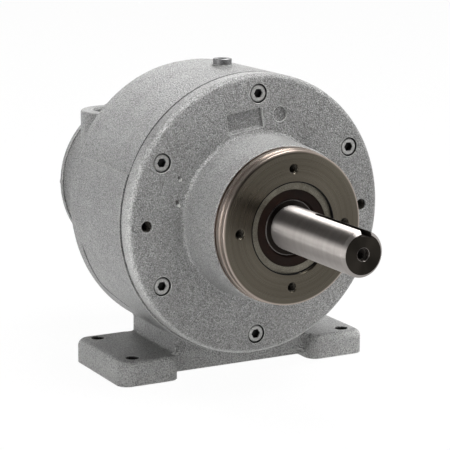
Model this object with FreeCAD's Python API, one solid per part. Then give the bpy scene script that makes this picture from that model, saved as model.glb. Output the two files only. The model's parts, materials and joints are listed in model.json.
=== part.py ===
import FreeCAD, Part
import math
import os
from FreeCAD import Vector

# A foot-mounted air vane motor, in millimetres.
# The origin is the centre of the four foot holes on the base plane. +Z is up, the shaft points
# along -Y, and X runs across the feet. A cast body with an eccentric bore stands on two feet,
# between a drive end plate with a machined hub and a dead end plate with a drum and two air ports.
# The rotor sits on a stepped shaft in two ball bearings and carries vanes that slide in its slots.

# Shaft
SHAFT_DIAMETER = 25.4
SHAFT_EXTENSION = 72.15
SHAFT_END_CHAMFER = 1.8
KEYWAY_WIDTH = 6.35
KEYWAY_DEPTH = 3.2
KEYWAY_LENGTH = 50.0
KEYWAY_ANGLE = 80.0
CENTRE_HOLE_DIAMETER = 6.4
CENTRE_HOLE_DEPTH = 18.0
CENTRE_HOLE_CHAMFER = 0.7
SEAL_JOURNAL_DIAMETER = 31.75
SEAL_JOURNAL_RECESS = 2.85
JOURNAL_CHAMFER = 0.8
ROTOR_SEAT_DIAMETER = 28.0

# Body casting
BODY_DIAMETER = 164.0
BODY_OVER_BASE = 13.25
BODY_LENGTH = 66.6
BAND_STEP = 1.2
BAND_TOP_OVER_AXIS = 28.7
BODY_EDGE_CHAMFER = 0.7
CHAMBER_DROP = 6.0

# Feet and the web between them
FOOT_HOLE_SPACING_X = 141.4
PAD_END_SETBACK = 0.3
FOOT_HOLE_DIAMETER = 8.4
PAD_EDGE_DISTANCE_X = 11.3
PAD_EDGE_DISTANCE_Y = 9.2
PAD_THICKNESS = 14.5
PAD_CORNER_RADIUS = 7.0
PAD_EDGE_RADIUS = 4.5
WEB_HALF_WIDTH = 43.8
WEB_FRONT_SETBACK = 6.8
WEB_REAR_SETBACK = 1.2
WEB_BASE_RELIEF = 3.0
WEB_EDGE_RADIUS = 2.0
WEB_ROOT_RADIUS = 3.0

# Plug on top of the body
PLUG_BOSS_DIAMETER = 12.6
PLUG_BOSS_RISE = 0.6
PLUG_BOSS_DEPTH = 16.0
PLUG_HEAD_DIAMETER = 11.0
PLUG_HEAD_HEIGHT = 3.3
PLUG_SOCKET_DEPTH = 2.6
PLUG_THREAD_DIAMETER = 9.6
PLUG_THREAD_LENGTH = 8.0
PLUG_PASSAGE_DIAMETER = 4.0

# Drive end plate
FRONT_RIM_THICKNESS = 9.8
RIM_EDGE_RADIUS = 3.0
BOSS_TAPER = 2.0
BOSS_LENGTH = 31.0
BOSS_ROOT_RADIUS = 2.6
BOSS_EDGE_RADIUS = 0.8
PILOT_DIAMETER = 88.9
PILOT_SHOULDER = 1.15
PILOT_STEP = 0.5
PILOT_BAND_LENGTH = 3.4
RELIEF_GROOVE_DEPTH = 1.3
RELIEF_GROOVE_WIDTH = 1.3
HUB_HEIGHT = 40.35
HUB_EDGE_CHAMFER = 1.5
HUB_HOLE_CIRCLE = 67.4
HUB_HOLE_COUNT = 4
HUB_HOLE_DIAMETER = 5.0
HUB_HOLE_DEPTH = 12.0
TAPPED_HOLE_CHAMFER = 0.5
JACK_HOLE_DIAMETER = 6.4
PANEL_WIDTH = 23.0
PANEL_HEIGHT = 10.4
PANEL_DEPTH = 1.4
PANEL_LEDGE = 1.3
PANEL_TILT = 8.0
PANEL_X = -8.6
PANEL_OVER_BOSS = 8.4
DIAL_DIAMETER = 9.0
DIAL_DEPTH = 1.0
DIAL_X = 14.2
DIAL_OVER_BOSS = 10.4
PRY_NOTCH_REACH = 1.5
PRY_NOTCH_DIAMETER = 27.0
PRY_NOTCH_DEPTH = 1.2
PRY_NOTCH_ANGLE = -67.0

# Dead end plate, drum and air ports
FLANGE_THICKNESS = 7.8
FLANGE_SETBACK = 1.2
FLANGE_EDGE_RADIUS = 3.0
JOINT_GROOVE_DEPTH = 2.2
JOINT_GROOVE_WIDTH = 1.2
SCREW_TO_DRUM = 14.15
DRUM_DROP = 4.0
DRUM_LENGTH = 74.5
DRUM_WALL = 5.0
CHAMBER_WALL = 10.0
DIVIDER_THICKNESS = 6.0
BEARING_BOSS_DIAMETER = 66.0
PORT_BOSS_DIAMETER = 40.0
PORT_BOSS_TOP_OVER_AXIS = 49.0
PORT_BOSS_EDGE_RADIUS = 1.3
PORT_BOSS_TAIL = 20.0
PORT_BOSS_TAIL_SHARE = 0.5
PORT_X = 38.6
PORT_SETBACK = 27.0
PORT_HOLE_DIAMETER = 24.2
PORT_THREAD_LENGTH = 24.0
PORT_HOLE_DEPTH = 34.0
PORT_MOUTH_CHAMFER = 1.0
KIDNEY_START_ANGLE = 148.0
KIDNEY_END_ANGLE = 206.0
KIDNEY_RIM = 1.5
KIDNEY_BEHIND_ROTOR = 4.0
COVER_OVERHANG = 1.0
COVER_THICKNESS = 3.5
COVER_EDGE_CHAMFER = 0.8

# Gaskets
GASKET_THICKNESS = 0.4
COVER_GASKET_THICKNESS = 0.5
GASKET_EDGE_RECESS = 0.9

# Screws and dowels
SCREW_EDGE_DISTANCE = 11.35
SCREW_COUNT = 6
FRONT_SCREW_ANGLE = 30.0
REAR_SCREW_ANGLE = 30.0
SCREW_DIAMETER = 6.0
SCREW_HEAD_DIAMETER = 10.0
SCREW_HEAD_HEIGHT = 6.0
HEAD_CHAMFER_SHARE = 0.1
SCREW_SOCKET = 5.0
SCREW_SOCKET_DEPTH = 3.0
SCREW_GRIP = 14.0
COUNTERBORE_DIAMETER = 11.3
COUNTERBORE_EXTRA_DEPTH = 0.5
COVER_SCREW_ANGLE = 0.0
COVER_SCREW_DIAMETER = 3.0
COVER_SCREW_HEAD_DIAMETER = 5.5
COVER_SCREW_HEAD_HEIGHT = 2.2
COVER_SCREW_SOCKET = 2.5
COVER_SCREW_SOCKET_DEPTH = 1.3
COVER_SCREW_GRIP = 9.0
SCREW_HOLE_CLEARANCE = 0.3
THREAD_CLEARANCE = 0.05
TAPPED_HOLE_SPARE = 3.0
DOWEL_DIAMETER = 5.0
DOWEL_LENGTH = 14.0
DOWEL_END_CLEARANCE = 0.5
DOWEL_FIT = 0.02
FRONT_DOWEL_ANGLE = 60.0
REAR_DOWEL_ANGLE = 0.0

# Rotor and vanes
ROTOR_DIAMETER = 92.0
ROTOR_TOP_CLEARANCE = 0.3
ROTOR_END_CLEARANCE = 0.15
VANE_COUNT = 4
FIRST_VANE_ANGLE = 45.0
VANE_THICKNESS = 5.0
VANE_HEIGHT = 16.4
VANE_SIDE_CLEARANCE = 0.05
VANE_END_CLEARANCE = 0.1
VANE_FLOOR_CLEARANCE = 0.3
VANE_TIP_RECESS = 0.1
VANE_TIP_RADIUS = 1.5

# Ball bearings
FRONT_BEARING_BORE = 30.0
FRONT_BEARING_DIAMETER = 55.0
FRONT_BEARING_WIDTH = 13.0
FRONT_BALL_DIAMETER = 9.5
FRONT_BALL_COUNT = 9
FRONT_BEARING_SETBACK = 2.2
REAR_BEARING_BORE = 25.0
REAR_BEARING_DIAMETER = 52.0
REAR_BEARING_WIDTH = 15.0
REAR_BALL_DIAMETER = 8.0
REAR_BALL_COUNT = 9
RACE_SHOULDER = 2.4
RACE_CLEARANCE = 0.06
CAGE_THICKNESS = 1.8
CAGE_BAR = 1.2
CAGE_POCKET_CLEARANCE = 0.15
SHOULDER_LIP = 3.5
SHAFT_PASSAGE_CLEARANCE = 1.0
REAR_SEAT_SETBACK = 9.0
SPRING_HEIGHT = 1.5
SPRING_THICKNESS = 0.6
RETAINER_THICKNESS = 1.2
RETAINER_HEIGHT = 2.6
RETAINER_GROOVE_DEPTH = 0.8
RETAINER_GAP_ANGLE = 50.0
RETAINER_EYE_RADIUS = 1.8
RETAINER_EYE_HOLE_RADIUS = 0.8
RETAINER_EYE_RISE = 2.1
RETAINER_EYE_SETBACK = 1.3
SHAFT_TAIL = 3.0

# Shaft seal
SEAL_DIAMETER = 52.0
SEAL_WIDTH = 8.0
SEAL_RECESS = 1.5
SEAL_CASE_WALL = 1.2
SEAL_WINDOW_DIAMETER = 44.0
SEAL_LIP_GAP = 0.04
SEAL_FACE_RECESS = 0.5
SEAL_LIP_HEIGHT = 1.2
SEAL_DUST_LIP_HEIGHT = 0.95
SEAL_LIP_END_GAP = 0.6
GARTER_WIRE = 1.4

# Radii and heights that several pieces share
body_radius = BODY_DIAMETER / 2
axis_height = body_radius + BODY_OVER_BASE
shaft_radius = SHAFT_DIAMETER / 2
journal_radius = SEAL_JOURNAL_DIAMETER / 2
rotor_seat_radius = ROTOR_SEAT_DIAMETER / 2
rotor_radius = ROTOR_DIAMETER / 2
chamber_radius = rotor_radius + CHAMBER_DROP + ROTOR_TOP_CLEARANCE
chamber_z = axis_height - CHAMBER_DROP
screw_radius = SCREW_DIAMETER / 2
screw_circle_radius = body_radius - SCREW_EDGE_DISTANCE
pilot_radius = PILOT_DIAMETER / 2
boss_front_radius = pilot_radius + PILOT_SHOULDER
boss_base_radius = boss_front_radius + BOSS_TAPER
seal_radius = SEAL_DIAMETER / 2
flange_radius = body_radius - FLANGE_SETBACK
drum_radius = screw_circle_radius - SCREW_HEAD_DIAMETER / 2 - SCREW_TO_DRUM
air_chamber_radius = drum_radius - DRUM_WALL
cover_radius = drum_radius + COVER_OVERHANG
drum_z = axis_height - DRUM_DROP
pad_outer_x = FOOT_HOLE_SPACING_X / 2 + PAD_EDGE_DISTANCE_X
pad_half_depth = BODY_LENGTH / 2 - PAD_END_SETBACK
foot_hole_y = pad_half_depth - PAD_EDGE_DISTANCE_Y

# Stations along the shaft, from the middle of the body
body_front = -BODY_LENGTH / 2
body_rear = BODY_LENGTH / 2
plate_inner = body_front - GASKET_THICKNESS
plate_face = plate_inner - FRONT_RIM_THICKNESS
boss_front = plate_face - BOSS_LENGTH
hub_face = plate_face - HUB_HEIGHT
shaft_end = hub_face - SHAFT_EXTENSION
journal_front = hub_face + SEAL_JOURNAL_RECESS
seal_front = hub_face + SEAL_RECESS
seal_rear = seal_front + SEAL_WIDTH
front_bearing_rear = plate_inner - FRONT_BEARING_SETBACK
front_bearing_front = front_bearing_rear - FRONT_BEARING_WIDTH
flange_front = body_rear + GASKET_THICKNESS
flange_rear = flange_front + FLANGE_THICKNESS
drum_rear = flange_rear + DRUM_LENGTH
cover_front = drum_rear + COVER_GASKET_THICKNESS
cover_rear = cover_front + COVER_THICKNESS
air_chamber_front = flange_front + CHAMBER_WALL
spring_front = flange_front + REAR_SEAT_SETBACK
rear_bearing_front = spring_front + SPRING_HEIGHT
rear_bearing_rear = rear_bearing_front + REAR_BEARING_WIDTH
retainer_rear = rear_bearing_rear + RETAINER_THICKNESS
shaft_tail = retainer_rear + SHAFT_TAIL
port_y = flange_rear + PORT_SETBACK
port_top = axis_height + PORT_BOSS_TOP_OVER_AXIS

# Lengths and radial places of the rotor and its vanes
rotor_length = BODY_LENGTH + 2 * GASKET_THICKNESS - 2 * ROTOR_END_CLEARANCE
vane_length = rotor_length - 2 * VANE_END_CLEARANCE
vane_tip = rotor_radius - VANE_TIP_RECESS
vane_root = vane_tip - VANE_HEIGHT
vane_angles = [FIRST_VANE_ANGLE + index * 360.0 / VANE_COUNT for index in range(VANE_COUNT)]

ALONG_SHAFT = Vector(0, 1, 0)
UP = Vector(0, 0, 1)
AXIS_POINT = Vector(0, 0, axis_height)


def turned(points):
    """Solid turned about the shaft axis from a closed outline of (station, radius) points."""
    outline = [Vector(radius, station, axis_height) for station, radius in points]
    face = Part.Face(Part.makePolygon(outline + outline[:1]))
    return face.revolve(AXIS_POINT, ALONG_SHAFT, 360)


def rod(radius, front, rear, x=0.0, z=axis_height):
    """Round bar parallel to the shaft between two stations."""
    return Part.makeCylinder(radius, rear - front, Vector(x, front, z), ALONG_SHAFT)


def ring(outer_radius, inner_radius, front, rear):
    """Plain ring on the shaft axis."""
    return rod(outer_radius, front, rear).cut(rod(inner_radius, front, rear))


def box(x_range, y_range, z_range):
    """Rectangular block from its lowest and highest values on each axis."""
    corner = Vector(x_range[0], y_range[0], z_range[0])
    size = [high - low for low, high in (x_range, y_range, z_range)]
    return Part.makeBox(size[0], size[1], size[2], corner)


def tapped_hole(radius, chamfer, front, rear, x=0.0, z=axis_height):
    """Cutter for a round hole from the front, with a chamfer at its mouth."""
    mouth = Part.makeCone(radius + chamfer, radius, chamfer, Vector(x, front, z), ALONG_SHAFT)
    return rod(radius, front, rear, x, z).fuse(mouth)


def on_circle(radius, count, first_angle):
    """Places (x, z) spaced evenly on a circle about the shaft axis; angles start at +X."""
    places = []
    for index in range(count):
        angle = math.radians(first_angle + index * 360.0 / count)
        places.append((radius * math.cos(angle), axis_height + radius * math.sin(angle)))
    return places


def round_edges(solid, radius, wanted):
    """Round the edges whose middle and ends satisfy a test of the edge."""
    return solid.makeFillet(radius, [edge for edge in solid.Edges if wanted(edge)])


def is_ring(edge, station, radius, z=axis_height):
    """True for a circle square to the shaft, at one station and height."""
    curve = edge.Curve
    if not hasattr(curve, "Radius") or not hasattr(curve, "Center"):
        return False
    centre = curve.Center
    on_axis = abs(centre.x) < 0.01 and abs(centre.z - z) < 0.01
    return on_axis and abs(centre.y - station) < 0.01 and abs(curve.Radius - radius) < 0.01


def turned_round(angle, shape):
    """Copy of a shape turned about the shaft axis by an angle in degrees, from +X towards +Z."""
    copy = shape.copy()
    copy.rotate(AXIS_POINT, ALONG_SHAFT, -angle)
    return copy


def hexagon_bar(across_flats, length, front):
    """Hexagonal bar along the shaft direction, centred on x = 0, z = 0."""
    corner_radius = across_flats / math.sqrt(3)
    corners = []
    for index in range(6):
        angle = math.radians(60 * index)
        corners.append(Vector(corner_radius * math.cos(angle), front, corner_radius * math.sin(angle)))
    return Part.Face(Part.makePolygon(corners + corners[:1])).extrude(Vector(0, length, 0))


def socket_screw(thread, head, head_height, socket, socket_depth, grip):
    """Socket head cap screw along +Y, with the seat of its head at y = 0 and its head on the -Y side."""
    head_solid = Part.makeCylinder(head / 2, head_height, Vector(0, -head_height, 0), ALONG_SHAFT)
    rim = [edge for edge in head_solid.Edges if abs(edge.CenterOfMass.y + head_height) < 0.01]
    head_solid = head_solid.makeChamfer(HEAD_CHAMFER_SHARE * head_height, rim)
    shank = Part.makeCylinder(thread / 2, grip, Vector(0, 0, 0), ALONG_SHAFT)
    return head_solid.fuse(shank).cut(hexagon_bar(socket, socket_depth, -head_height)).removeSplitter()


def placed(shape, x, y, z, towards_front=False):
    """Copy of a shape moved to a place, turned to face the other way along the shaft if asked."""
    copy = shape.copy()
    if towards_front:
        copy.rotate(Vector(0, 0, 0), UP, 180)
    copy.translate(Vector(x, y, z))
    return copy


front_screw_places = on_circle(screw_circle_radius, SCREW_COUNT, FRONT_SCREW_ANGLE)
rear_screw_places = on_circle(screw_circle_radius, SCREW_COUNT, REAR_SCREW_ANGLE)
cover_screw_circle = on_circle(drum_radius - DRUM_WALL / 2, SCREW_COUNT, COVER_SCREW_ANGLE)
cover_screw_places = [(x, z - DRUM_DROP) for x, z in cover_screw_circle]
front_dowel_places = on_circle(screw_circle_radius, 2, FRONT_DOWEL_ANGLE)
rear_dowel_places = on_circle(screw_circle_radius, 2, REAR_DOWEL_ANGLE)
dowel_hole_radius = DOWEL_DIAMETER / 2 + DOWEL_FIT
dowel_hole_depth = DOWEL_LENGTH / 2 + DOWEL_END_CLEARANCE
tapped_radius = screw_radius + THREAD_CLEARANCE
counterbore_depth = SCREW_HEAD_HEIGHT + COUNTERBORE_EXTRA_DEPTH
front_head_seat = plate_face + counterbore_depth
front_tapped_depth = front_head_seat + SCREW_GRIP + TAPPED_HOLE_SPARE - body_front
rear_tapped_depth = body_rear - (flange_rear - SCREW_GRIP - TAPPED_HOLE_SPARE)


def foot_pad(side):
    """One bolting pad, with rounded corners and a rounded top rim; side is -1 or 1."""
    x_range = sorted((side * WEB_HALF_WIDTH, side * pad_outer_x))
    pad = box(x_range, (-pad_half_depth, pad_half_depth), (0, PAD_THICKNESS))
    upright = lambda edge: abs(edge.tangentAt(edge.FirstParameter).z) > 0.99
    pad = round_edges(pad, PAD_CORNER_RADIUS, upright)
    top = lambda edge: abs(edge.BoundBox.ZMin - PAD_THICKNESS) < 0.01
    return round_edges(pad, PAD_EDGE_RADIUS, top)


def chamfered_barrel(radius):
    """Round bar as long as the body, with its rear rim chamfered."""
    barrel = rod(radius, body_front, body_rear)
    rear_rim = [edge for edge in barrel.Edges if is_ring(edge, body_rear, radius)]
    return barrel.makeChamfer(BODY_EDGE_CHAMFER, rear_rim)


def is_web_corner(edge, radius):
    """True for the two long inner corners where the web's sides meet a barrel of this radius."""
    reach = edge.BoundBox
    height = axis_height - math.sqrt(radius ** 2 - WEB_HALF_WIDTH ** 2)
    level = reach.ZLength < 0.01 and abs(reach.ZMin - height) < 0.01
    return level and abs(abs(reach.Center.x) - WEB_HALF_WIDTH) < 0.01


def web_cove(side, front, rear):
    """Concave fillet along the foot of the web, on top of one pad."""
    x_range = sorted((side * WEB_HALF_WIDTH, side * (WEB_HALF_WIDTH + WEB_ROOT_RADIUS)))
    strip = box(x_range, (front, rear), (PAD_THICKNESS, PAD_THICKNESS + WEB_ROOT_RADIUS))
    return strip.cut(rod(WEB_ROOT_RADIUS, front, rear, side * (WEB_HALF_WIDTH + WEB_ROOT_RADIUS),
                         PAD_THICKNESS + WEB_ROOT_RADIUS))


def body_casting():
    """Ring-shaped casting with its feet, eccentric rotor bore and tapped holes."""
    band_top = axis_height + BAND_TOP_OVER_AXIS
    band_radius = body_radius + BAND_STEP
    below_band_top = box((-2 * body_radius, 2 * body_radius), (body_front, body_rear), (0, band_top))
    barrel = chamfered_barrel(body_radius).fuse(chamfered_barrel(band_radius).common(below_band_top))

    web_y = (body_front + WEB_FRONT_SETBACK, body_rear - WEB_REAR_SETBACK)
    web_top = axis_height - CHAMBER_DROP - chamber_radius
    web = box((-WEB_HALF_WIDTH, WEB_HALF_WIDTH), web_y, (WEB_BASE_RELIEF, web_top))
    web = round_edges(web, WEB_EDGE_RADIUS, lambda edge: abs(edge.tangentAt(edge.FirstParameter).z) > 0.99)
    casting = barrel.fuse(web)
    for side in (-1, 1):
        root_x = sorted((side * (WEB_HALF_WIDTH - PAD_EDGE_RADIUS - WEB_EDGE_RADIUS),
                         side * (WEB_HALF_WIDTH + PAD_EDGE_RADIUS + PAD_CORNER_RADIUS)))
        root_y = (web_y[0], pad_half_depth - PAD_EDGE_RADIUS)
        root = box(root_x, root_y, (WEB_BASE_RELIEF, PAD_THICKNESS))
        casting = casting.fuse([foot_pad(side), root, web_cove(side, root_y[0], root_y[1])])
    plug_seat = axis_height + body_radius + PLUG_BOSS_RISE
    plug_boss = Part.makeCylinder(PLUG_BOSS_DIAMETER / 2, PLUG_BOSS_DEPTH,
                                  Vector(0, 0, plug_seat - PLUG_BOSS_DEPTH))
    casting = casting.fuse(plug_boss).removeSplitter()
    at_web_root = lambda edge: is_web_corner(edge, band_radius) or is_ring(edge, web_y[0], band_radius)
    casting = round_edges(casting, WEB_ROOT_RADIUS, at_web_root)

    chamber = rod(chamber_radius, body_front, body_rear, z=chamber_z)
    casting = casting.cut(chamber)
    cuts = []
    for x, z in front_screw_places:
        cuts.append(rod(tapped_radius, body_front, body_front + front_tapped_depth, x, z))
    for x, z in rear_screw_places:
        cuts.append(rod(tapped_radius, body_rear - rear_tapped_depth, body_rear, x, z))
    for x, z in front_dowel_places:
        cuts.append(rod(dowel_hole_radius, body_front, body_front + dowel_hole_depth, x, z))
    for x, z in rear_dowel_places:
        cuts.append(rod(dowel_hole_radius, body_rear - dowel_hole_depth, body_rear, x, z))
    for side_x in (-1, 1):
        for side_y in (-1, 1):
            place = Vector(side_x * FOOT_HOLE_SPACING_X / 2, side_y * foot_hole_y, 0)
            cuts.append(Part.makeCylinder(FOOT_HOLE_DIAMETER / 2, PAD_THICKNESS, place))
    thread_bottom = plug_seat - PLUG_THREAD_LENGTH - TAPPED_HOLE_SPARE
    cuts.append(Part.makeCylinder(PLUG_THREAD_DIAMETER / 2 + THREAD_CLEARANCE, plug_seat - thread_bottom,
                                  Vector(0, 0, thread_bottom)))
    cuts.append(Part.makeCylinder(PLUG_PASSAGE_DIAMETER / 2, plug_seat - chamber_z, Vector(0, 0, chamber_z)))
    return casting.cut(cuts)


def top_plug():
    """Socket plug that closes the drilled passage on top of the body."""
    seat = axis_height + body_radius + PLUG_BOSS_RISE
    plug = socket_screw(PLUG_THREAD_DIAMETER, PLUG_HEAD_DIAMETER, PLUG_HEAD_HEIGHT, SCREW_SOCKET,
                        PLUG_SOCKET_DEPTH, PLUG_THREAD_LENGTH)
    plug.rotate(Vector(0, 0, 0), Vector(1, 0, 0), -90)
    plug.translate(Vector(0, 0, seat))
    return plug


def cast_panel():
    """Cutter for the shallow tilted panel over the boss, with a sloping wall along its lower edge."""
    panel_z = axis_height + boss_base_radius + PANEL_OVER_BOSS
    low = panel_z - PANEL_HEIGHT / 2
    left = PANEL_X - PANEL_WIDTH / 2
    floor = plate_face + PANEL_DEPTH
    panel = box((left, left + PANEL_WIDTH), (plate_face, floor), (low, panel_z + PANEL_HEIGHT / 2))
    corners = [Vector(left, plate_face, low), Vector(left, floor, low),
               Vector(left, plate_face, low - PANEL_LEDGE)]
    slope = Part.Face(Part.makePolygon(corners + corners[:1])).extrude(Vector(PANEL_WIDTH, 0, 0))
    panel = panel.fuse(slope).removeSplitter()
    panel.rotate(Vector(PANEL_X, 0, panel_z), ALONG_SHAFT, -PANEL_TILT)
    return panel


def drive_end_plate():
    """Front casting: flat rim, tapered boss and machined hub with its pilot, seal and bearing seats."""
    groove_radius = pilot_radius - RELIEF_GROOVE_DEPTH
    groove_front = boss_front - RELIEF_GROOVE_WIDTH
    band_front = groove_front - PILOT_BAND_LENGTH
    nose_radius = pilot_radius - PILOT_STEP
    hub_radius = nose_radius - HUB_EDGE_CHAMFER
    passage_radius = journal_radius + SHAFT_PASSAGE_CLEARANCE
    bearing_radius = FRONT_BEARING_DIAMETER / 2
    shoulder_radius = bearing_radius - SHOULDER_LIP
    plate = turned([
        (plate_inner, body_radius),
        (plate_face, body_radius),
        (plate_face, boss_base_radius),
        (boss_front, boss_front_radius),
        (boss_front, groove_radius),
        (groove_front, groove_radius),
        (groove_front, pilot_radius),
        (band_front, pilot_radius),
        (band_front, nose_radius),
        (hub_face + HUB_EDGE_CHAMFER / 2, nose_radius),
        (hub_face, hub_radius),
        (hub_face, seal_radius),
        (seal_rear, seal_radius),
        (seal_rear, passage_radius),
        (front_bearing_front - SHAFT_PASSAGE_CLEARANCE, passage_radius),
        (front_bearing_front - SHAFT_PASSAGE_CLEARANCE, shoulder_radius),
        (front_bearing_front, shoulder_radius),
        (front_bearing_front, bearing_radius),
        (plate_inner, bearing_radius),
    ])
    plate = round_edges(plate, RIM_EDGE_RADIUS, lambda edge: is_ring(edge, plate_face, body_radius))
    plate = round_edges(plate, BOSS_ROOT_RADIUS, lambda edge: is_ring(edge, plate_face, boss_base_radius))
    plate = round_edges(plate, BOSS_EDGE_RADIUS, lambda edge: is_ring(edge, boss_front, boss_front_radius))

    cuts = []
    for x, z in front_screw_places:
        cuts.append(rod(screw_radius + SCREW_HOLE_CLEARANCE, plate_face, plate_inner, x, z))
        cuts.append(rod(COUNTERBORE_DIAMETER / 2, plate_face, front_head_seat, x, z))
    for x, z in on_circle(screw_circle_radius, 2, 0):
        cuts.append(tapped_hole(JACK_HOLE_DIAMETER / 2, TAPPED_HOLE_CHAMFER, plate_face, plate_inner, x, z))
    for x, z in on_circle(HUB_HOLE_CIRCLE / 2, HUB_HOLE_COUNT, 0):
        cuts.append(tapped_hole(HUB_HOLE_DIAMETER / 2, TAPPED_HOLE_CHAMFER, hub_face,
                                hub_face + HUB_HOLE_DEPTH, x, z))
    for x, z in front_dowel_places:
        cuts.append(rod(dowel_hole_radius, plate_inner - dowel_hole_depth, plate_inner, x, z))
    notch_centre = seal_radius + PRY_NOTCH_REACH - PRY_NOTCH_DIAMETER / 2
    notch = rod(PRY_NOTCH_DIAMETER / 2, hub_face, hub_face + PRY_NOTCH_DEPTH, x=notch_centre)
    cuts.append(turned_round(PRY_NOTCH_ANGLE, notch))
    dial_z = axis_height + boss_base_radius + DIAL_OVER_BOSS
    cuts.append(rod(DIAL_DIAMETER / 2, plate_face, plate_face + DIAL_DEPTH, DIAL_X, dial_z))
    return plate.cut(cuts + [cast_panel()])


def port_boss(side):
    """Upright round boss of one air port, with a tapered tail that runs into the drum."""
    foot = Vector(side * PORT_X, port_y, axis_height)
    boss = Part.makeCylinder(PORT_BOSS_DIAMETER / 2, PORT_BOSS_TOP_OVER_AXIS, foot)
    boss = round_edges(boss, PORT_BOSS_EDGE_RADIUS, lambda edge: abs(edge.BoundBox.ZMin - port_top) < 0.01)
    tail = Part.makeCone(PORT_BOSS_DIAMETER / 2, PORT_BOSS_DIAMETER / 2 * PORT_BOSS_TAIL_SHARE,
                         PORT_BOSS_TAIL, foot, -UP)
    return boss.fuse(tail)


def kidney_port(side):
    """Curved air passage from one drum chamber to the side of the rotor chamber."""
    outer = rod(chamber_radius - KIDNEY_RIM, flange_front, air_chamber_front, z=chamber_z)
    inner = rod(rotor_radius - KIDNEY_BEHIND_ROTOR, flange_front, air_chamber_front)
    reach = 2 * chamber_radius
    wedge = [AXIS_POINT]
    for angle in (KIDNEY_START_ANGLE, KIDNEY_END_ANGLE):
        angle = math.radians(angle)
        wedge.append(Vector(reach * math.cos(angle), 0, axis_height + reach * math.sin(angle)))
    sector = Part.Face(Part.makePolygon(wedge + wedge[:1])).extrude(Vector(0, air_chamber_front, 0))
    port = outer.cut(inner).common(sector)
    if side > 0:
        port = port.mirror(AXIS_POINT, Vector(1, 0, 0))
    return port


def dead_end_plate():
    """Rear casting: flange, drum with two air chambers, bearing boss and two port bosses."""
    spigot_radius = flange_radius - JOINT_GROOVE_DEPTH
    flange = turned([
        (flange_front, 0),
        (flange_front, spigot_radius),
        (flange_front + JOINT_GROOVE_WIDTH, spigot_radius),
        (flange_front + JOINT_GROOVE_WIDTH, flange_radius),
        (flange_rear, flange_radius),
        (flange_rear, 0),
    ])
    flange = round_edges(flange, FLANGE_EDGE_RADIUS, lambda edge: is_ring(edge, flange_rear, flange_radius))
    casting = flange.fuse(rod(drum_radius, flange_rear, drum_rear, z=drum_z))
    for side in (-1, 1):
        casting = casting.fuse(port_boss(side))
    casting = casting.removeSplitter()

    hollow = rod(air_chamber_radius, air_chamber_front, drum_rear, z=drum_z)
    hollow = hollow.cut(rod(BEARING_BOSS_DIAMETER / 2, air_chamber_front, drum_rear))
    hollow = hollow.cut(box((-DIVIDER_THICKNESS / 2, DIVIDER_THICKNESS / 2), (air_chamber_front, drum_rear),
                            (0, 2 * axis_height)))
    for side in (-1, 1):
        hollow = hollow.cut(Part.makeCylinder(PORT_BOSS_DIAMETER / 2, PORT_THREAD_LENGTH,
                                              Vector(side * PORT_X, port_y, port_top - PORT_THREAD_LENGTH)))
    casting = casting.cut(hollow)

    bearing_radius = REAR_BEARING_DIAMETER / 2
    cuts = [rod(bearing_radius, spring_front, drum_rear)]
    cuts.append(rod(rotor_seat_radius + SHAFT_PASSAGE_CLEARANCE, flange_front, spring_front))
    for side in (-1, 1):
        mouth = Vector(side * PORT_X, port_y, port_top)
        port_radius = PORT_HOLE_DIAMETER / 2
        cuts.append(Part.makeCylinder(port_radius, PORT_HOLE_DEPTH, mouth, -UP))
        cuts.append(Part.makeCone(port_radius + PORT_MOUTH_CHAMFER, port_radius, PORT_MOUTH_CHAMFER,
                                  mouth, -UP))
        cuts.append(Part.makeCylinder(PORT_BOSS_DIAMETER / 2, drum_radius, mouth))
        cuts.append(kidney_port(side))
    for x, z in rear_screw_places:
        cuts.append(rod(screw_radius + SCREW_HOLE_CLEARANCE, flange_front, flange_rear, x, z))
    for x, z in rear_dowel_places:
        cuts.append(rod(dowel_hole_radius, flange_front, flange_front + dowel_hole_depth, x, z))
    cover_thread = COVER_SCREW_GRIP - COVER_THICKNESS - COVER_GASKET_THICKNESS + TAPPED_HOLE_SPARE
    for x, z in cover_screw_places:
        cuts.append(rod(COVER_SCREW_DIAMETER / 2 + THREAD_CLEARANCE, drum_rear - cover_thread, drum_rear,
                        x, z))
    return casting.cut(cuts)


def rear_cover():
    """Flat round cover of the drum."""
    cover = rod(cover_radius, cover_front, cover_rear, z=drum_z)
    rim = [edge for edge in cover.Edges if is_ring(edge, cover_rear, cover_radius, drum_z)]
    cover = cover.makeChamfer(COVER_EDGE_CHAMFER, rim)
    holes = [rod(COVER_SCREW_DIAMETER / 2 + SCREW_HOLE_CLEARANCE, cover_front, cover_rear, x, z)
             for x, z in cover_screw_places]
    return cover.cut(holes)


def body_gasket(front, outer_radius, screw_places, dowel_places):
    """Flat gasket on one end of the body, open over the rotor chamber."""
    rear = front + GASKET_THICKNESS
    cuts = [rod(chamber_radius, front, rear, z=chamber_z)]
    for x, z in screw_places:
        cuts.append(rod(screw_radius + SCREW_HOLE_CLEARANCE, front, rear, x, z))
    for x, z in dowel_places:
        cuts.append(rod(DOWEL_DIAMETER / 2 + DOWEL_FIT, front, rear, x, z))
    return rod(outer_radius, front, rear).cut(cuts)


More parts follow.
